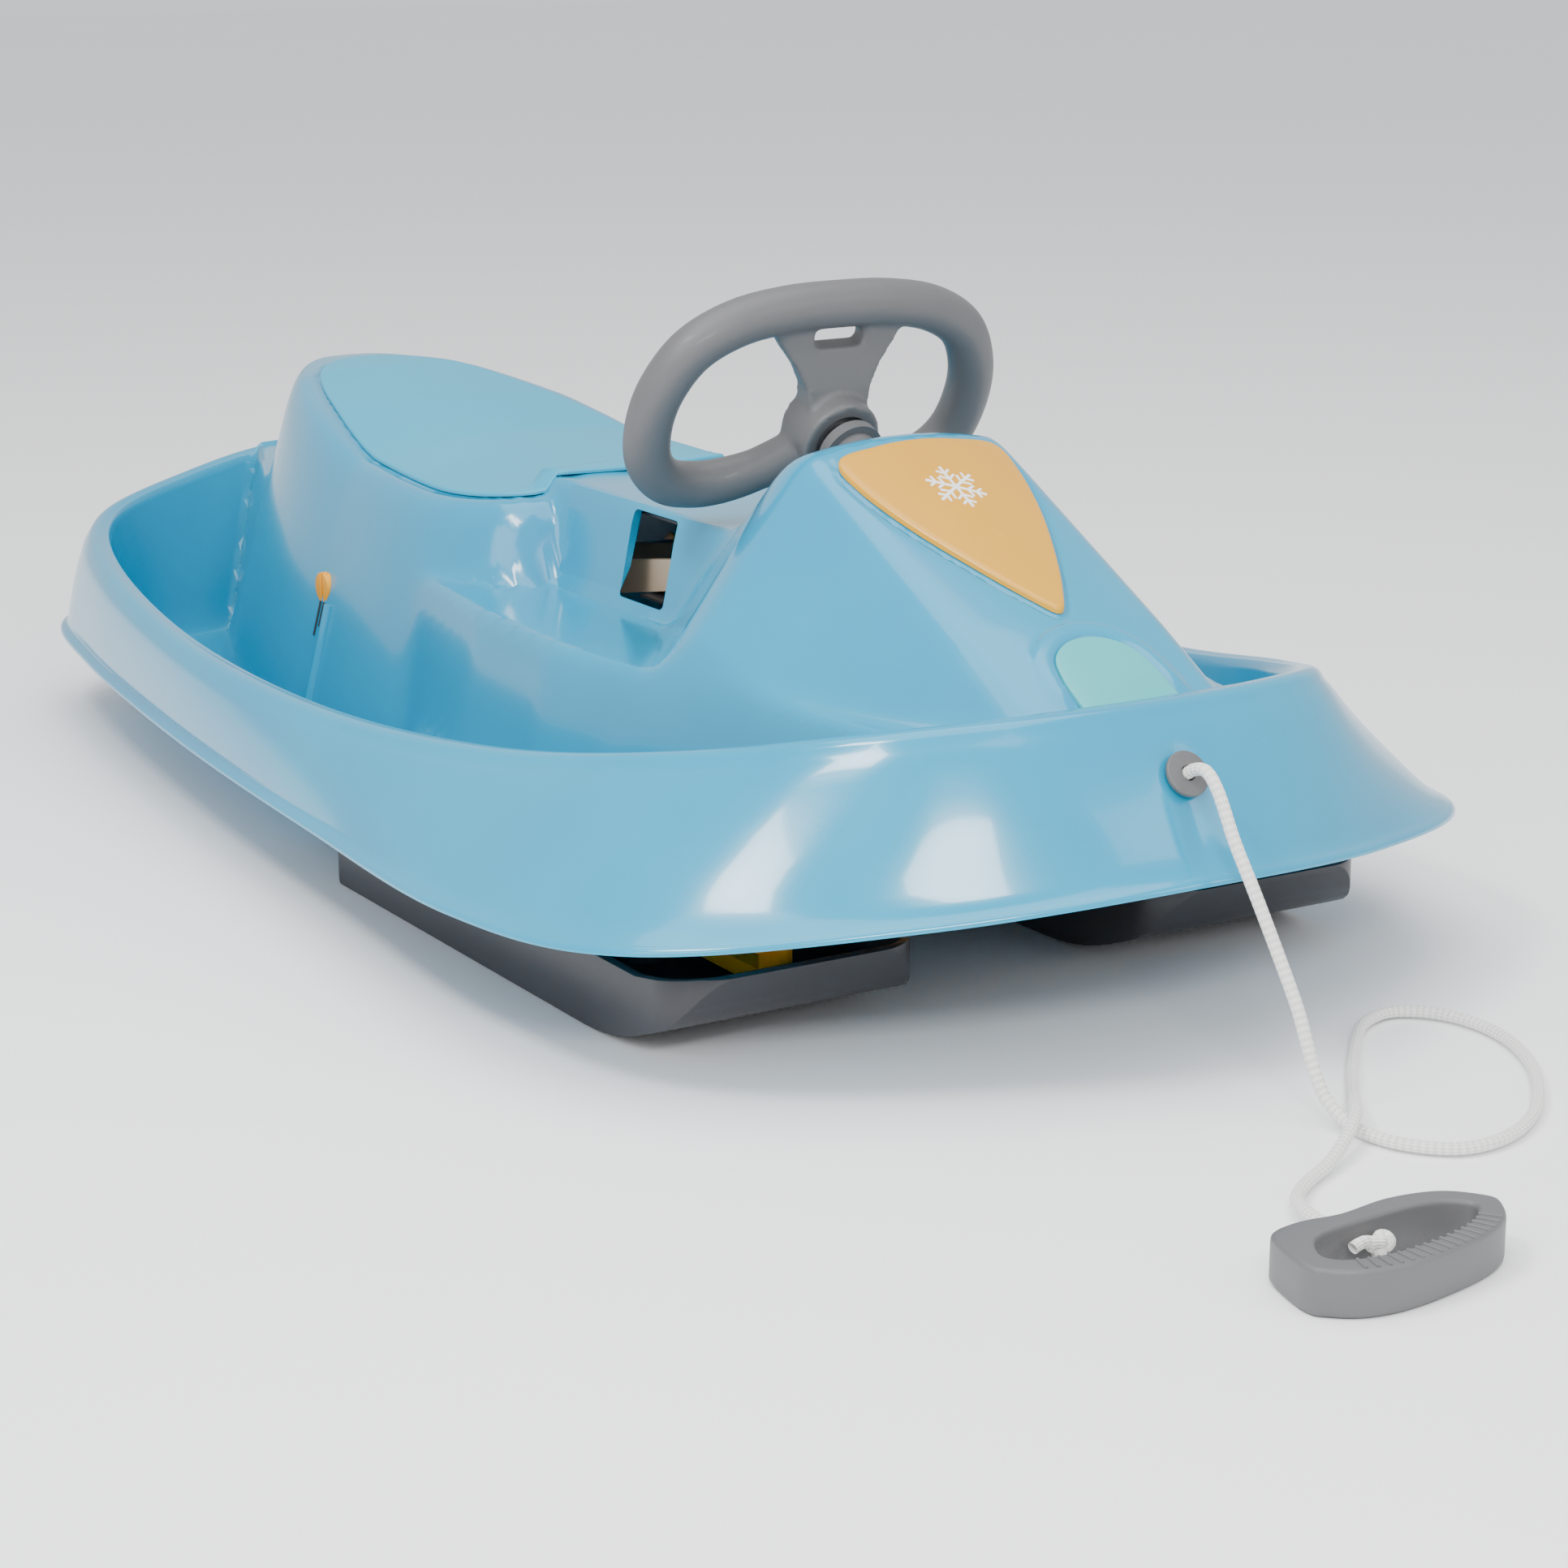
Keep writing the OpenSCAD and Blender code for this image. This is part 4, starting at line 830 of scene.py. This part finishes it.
def repeatTree(name, along):
    tree = bpy.data.node_groups.new(name, "GeometryNodeTree")
    for title, kind in (("Geometry", "Geometry"), ("Shape", "Object"), ("Count", "Int"), ("Size", "Float"),
                        ("Finish", "Material")):
        tree.interface.new_socket(title, in_out="INPUT", socket_type="NodeSocket" + kind)
    tree.interface.new_socket("Geometry", in_out="OUTPUT", socket_type="NodeSocketGeometry")
    new, join = tree.nodes.new, tree.links.new
    given, result = new("NodeGroupInput"), new("NodeGroupOutput")
    shape, put = new("GeometryNodeObjectInfo"), new("GeometryNodeInstanceOnPoints")
    real, paintIt = new("GeometryNodeRealizeInstances"), new("GeometryNodeSetMaterial")
    join(given.outputs["Shape"], shape.inputs["Object"])
    if along:
        line, spread = new("GeometryNodeMeshToCurve"), new("GeometryNodeResampleCurve")
        spread.mode = "COUNT"
        heading, aim = new("GeometryNodeInputTangent"), new("FunctionNodeAlignRotationToVector")
        aim.axis, aim.pivot_axis = "X", "Z"
        join(given.outputs["Geometry"], line.inputs["Mesh"])
        join(line.outputs["Curve"], spread.inputs["Curve"])
        join(given.outputs["Count"], spread.inputs["Count"])
        join(spread.outputs["Curve"], put.inputs["Points"])
        join(heading.outputs["Tangent"], aim.inputs["Vector"])
        join(aim.outputs["Rotation"], put.inputs["Rotation"])
    else:
        spots, number, step = new("GeometryNodePoints"), new("GeometryNodeInputIndex"), new("ShaderNodeMath")
        share, spin = new("ShaderNodeMath"), new("ShaderNodeCombineXYZ")
        share.operation, step.operation = "DIVIDE", "MULTIPLY"
        share.inputs[0].default_value = 2 * math.pi
        join(given.outputs["Count"], spots.inputs["Count"])
        join(given.outputs["Count"], share.inputs[1])
        join(number.outputs[0], step.inputs[0])
        join(share.outputs[0], step.inputs[1])
        join(step.outputs[0], spin.inputs["Z"])
        join(spots.outputs[0], put.inputs["Points"])
        join(spin.outputs[0], put.inputs["Rotation"])
    join(shape.outputs["Geometry"], put.inputs["Instance"])
    join(given.outputs["Size"], put.inputs["Scale"])
    join(put.outputs["Instances"], real.inputs["Geometry"])
    join(real.outputs["Geometry"], paintIt.inputs["Geometry"])
    join(given.outputs["Finish"], paintIt.inputs["Material"])
    join(paintIt.outputs["Geometry"], result.inputs["Geometry"])
    return tree


alongTree, roundTree = repeatTree("repeat_along_line", True), repeatTree("repeat_round_point", False)


def repeated(name, base, tree, shape, count, size, finish):
    change = base.modifiers.new("repeat", "NODES")
    change.node_group = tree
    wanted = {"Shape": shape, "Count": count, "Size": size, "Finish": finishes[finish]}
    for item in tree.interface.items_tree:
        if item.in_out == "INPUT" and item.name in wanted:
            change[item.identifier] = wanted[item.name]
    applyAll(base)
    base.name = name
    bpy.data.objects.remove(shape)
    return base


# ribs on the tow handle

rib = meshObject("rib", *rodBetween((0, -4.6, 0), (0, 4.6, 0), 0.85, 10))
gripLine = (outerRing + innerRing)[(angles > -2.75) & (angles < -0.4)] / 2
gripLine = placed(np.concatenate([gripLine, np.full((len(gripLine), 1), tall - 0.1)], 1))
gripBase = meshObject("grip_base", gripLine, [], [(i, i + 1) for i in range(len(gripLine) - 1)])
gripRibs = repeated("handle_ribs", gripBase, alongTree, rib, handle["ribs"], 1.0, "grey_plastic")
tidyMesh(gripRibs, angle=50)
settle(gripRibs, "grey_plastic", bodyOf["tow_handle"])

# plain snowflake on the hood panel

flake = {"centre": (300, 0), "arms": 6, "long": 15, "stem": 1.5, "thick": 0.7, "lift": 3.25, "flatten": 0.6,
         "twigs": ((0.38, 4.2), (0.66, 3.6))}


def bar(x0, y0, x1, y1, w):
    a, b = arr([x0, y0]), arr([x1, y1])
    side = unit(arr([-(b - a)[1], (b - a)[0]])) * w / 2
    cuts = np.linspace(0, 1, 9)
    edgeLine = [a + (b - a) * t + side for t in cuts] + [a + (b - a) * t - side for t in cuts[::-1]]
    count = len(edgeLine)
    points = [(*p, 0) for p in edgeLine] + [(*p, flake["thick"]) for p in edgeLine]
    faces = [(i, i + 1, count - 2 - i, count - 1 - i) for i in range(8)]
    faces = [tuple(reversed(f)) for f in faces] + [tuple(i + count for i in f) for f in faces]
    faces += [((i + 1) % count, i, i + count, (i + 1) % count + count) for i in range(count)]
    return arr(points), faces


size = flake["long"]
arm = meshObject("arm", *joined([bar(0, 0, size, 0, flake["stem"])]
                                + [bar(size * t, 0, size * t + r * 0.7, s * r, flake["stem"] * 0.8)
                                   for t, r in flake["twigs"] for s in (-1, 1)]))
tidyMesh(arm, smooth=False)
flakeBase = meshObject("flake_base", [(0, 0, 0)], [])
snowflake = repeated("hood_snowflake", flakeBase, roundTree, arm, flake["arms"], 1.0, "snow_white")
for v in snowflake.data.vertices:
    x, y, z = v.co / mm
    x, y = x + flake["centre"][0], y + flake["centre"][1]
    under = float(bodyHeight(arr([x]), arr([y]))[0])
    v.co = Vector((x, y, under + flake["lift"] + z * flake["flatten"])) * mm
tidyMesh(snowflake, smooth=False)
settle(snowflake, "snow_white", "hull")

# moulded rib down each side wall, and two short dark bars of painted shade that stand for the slits below the snap pins

wallMarks = {"ribAhead": 13, "ribTop": 112, "ribFoot": 46, "ribRadius": 3.4, "slitAhead": 4, "slitStep": 5,
             "slitBelow": 8, "slitLong": (14, 20), "slitRadius": 0.75, "slitOut": 0.35}


def wallPath(x, side, high, low):
    y = np.linspace(60, 190, 900)
    z = bodyHeight(np.full(900, float(x)), y)
    wanted = np.linspace(high, low, 24)
    return arr([(x, side * np.interp(-w, -z, y), w) for w in wanted])


for side, name in ((1, "left_wall_rib"), (-1, "right_wall_rib")):
    points, faces = sweep(wallPath(pivot[0] + wallMarks["ribAhead"], side, wallMarks["ribTop"], wallMarks["ribFoot"]),
                          wallMarks["ribRadius"], 16, start=(1, 0, 0))
    wallRib = meshObject(name, points, faces)
    tidyMesh(wallRib, angle=50)
    settle(wallRib, "hull_blue", "hull")
    for k, drop in enumerate(wallMarks["slitLong"]):
        x, top = pivot[0] + wallMarks["slitAhead"] - wallMarks["slitStep"] * k, pivot[2] - wallMarks["slitBelow"]
        slit = wallPath(x, side, top, top - drop) + (0, side * wallMarks["slitOut"], 0)
        slitPoints, slitFaces = sweep(slit, wallMarks["slitRadius"], 10, start=(1, 0, 0))
        slitShadeBar = meshObject(name.replace("rib", "slit_%d" % (k + 1)), slitPoints, slitFaces)
        tidyMesh(slitShadeBar, angle=50)
        # the dark finish paints the shade inside each slit
        settle(slitShadeBar, "dark_plastic", "hull")
print("repeated shapes made")

plain = {
    "winder_frame": "dark_plastic", "winder_drum": "dark_plastic", "winder_axle": "steel", "winder_spring": "steel",
    "wheel_hub": "grey_plastic", "wheel_screw": "steel", "steering_column": "steel", "column_sleeve": "grey_plastic",
    "column_clip": "steel", "pitman_arm": "link_yellow", "steering_frame": "dark_plastic", "frame_screws": "steel",
    "steering_post": "steel", "post_fork": "link_yellow", "tie_rod": "link_yellow", "knuckle_left": "link_yellow",
    # the brake lever and grip take yellow plastic with painted shade, which reads beige
    "knuckle_right": "link_yellow", "kingpins": "steel", "kingpin_nuts": "steel", "brake_lever": "grip_sand",
    "brake_grip": "grip_sand", "brake_claw": "steel", "claw_screws": "steel", "brake_pivot_rod": "steel",
    "runner_screws": "steel",
}
for node, finish in plain.items():
    for slot in nodes[node].material_slots:
        slot.material = finishes[finish]

# dark box behind the hand windows, open at the back for the lever; its dark colour is painted shade for the inside of
# the seat block

well = {
    "half": 50,
    "outer": [[74, 152.5], [128, 152.5], [131.5, 156], [131.5, 196.5], [128.5, 199.6], [74, 199.6]],
    "inner": [[74, 153.9], [127.3, 153.9], [130.1, 156.7], [130.1, 195.8], [127.8, 198.2], [74, 198.2]],
}
profile = arr(well["outer"] + well["inner"][::-1])
wellPoints = [(x, y, z) for y in (-well["half"], well["half"]) for x, z in profile]
count = len(profile)
wellFaces = [(i, (i + 1) % count, (i + 1) % count + count, i + count) for i in range(count)]
wellFaces += [(k, k + 1, count - 2 - k, count - 1 - k) for k in range(5)]
wellFaces += [(2 * count - 1 - k, 2 * count - 2 - k, count + k + 1, count + k) for k in range(5)]
handShadeBox = meshObject("hand_well", wellPoints, wellFaces)
tidyMesh(handShadeBox, smooth=False)
# the dark finish here paints the shade inside the seat block
settle(handShadeBox, "dark_plastic", "hull")

# floor, light

ground = {"half": 9000, "level": -0.4}
floor = meshObject("floor", [(a * ground["half"], b * ground["half"], ground["level"])
                             for a, b in ((-1, -1), (1, -1), (1, 1), (-1, 1))], [(0, 1, 2, 3)])
floorPaint = Paint("pale_floor")
floor.data.materials.append(floorPaint.finish(Base_Color=floorPaint.mix(
    floorPaint.noise(floorPaint.place(), 1.5), (0.955, 0.96, 0.965), (0.985, 0.985, 0.99)), Roughness=0.75))

world = bpy.data.worlds.new("studio")
bpy.context.scene.world = world
world.use_nodes = True
world.node_tree.nodes["Background"].inputs[0].default_value = (0.95, 0.97, 1.0, 1)
world.node_tree.nodes["Background"].inputs[1].default_value = 0.95


def softbox(name, place, aim, width, height, power):
    data = bpy.data.lights.new(name, "AREA")
    data.shape, data.size, data.size_y, data.energy = "RECTANGLE", width, height, power
    lamp = bpy.data.objects.new(name, data)
    bpy.context.collection.objects.link(lamp)
    lamp.location = place
    lamp.rotation_euler = (Vector(aim) - Vector(place)).to_track_quat("-Z", "Y").to_euler()
    return lamp


softbox("overhead", (0.3, -0.2, 2.6), (0, 0, 0), 2.6, 2.6, 60)
softbox("glint_left", (0.46, -0.86, 1.20), (0.418, -0.191, 0.097), 0.42, 0.2, 9)
softbox("glint_right", (1.47, -0.54, 0.82), (0.47, -0.12, 0.1), 0.4, 0.18, 8)
softbox("front_left", (1.3, -2.6, 1.6), (0, 0, 0.1), 1.6, 1.2, 22)
softbox("front_right", (2.6, 1.2, 1.4), (0.2, 0, 0.1), 1.4, 1.2, 16)
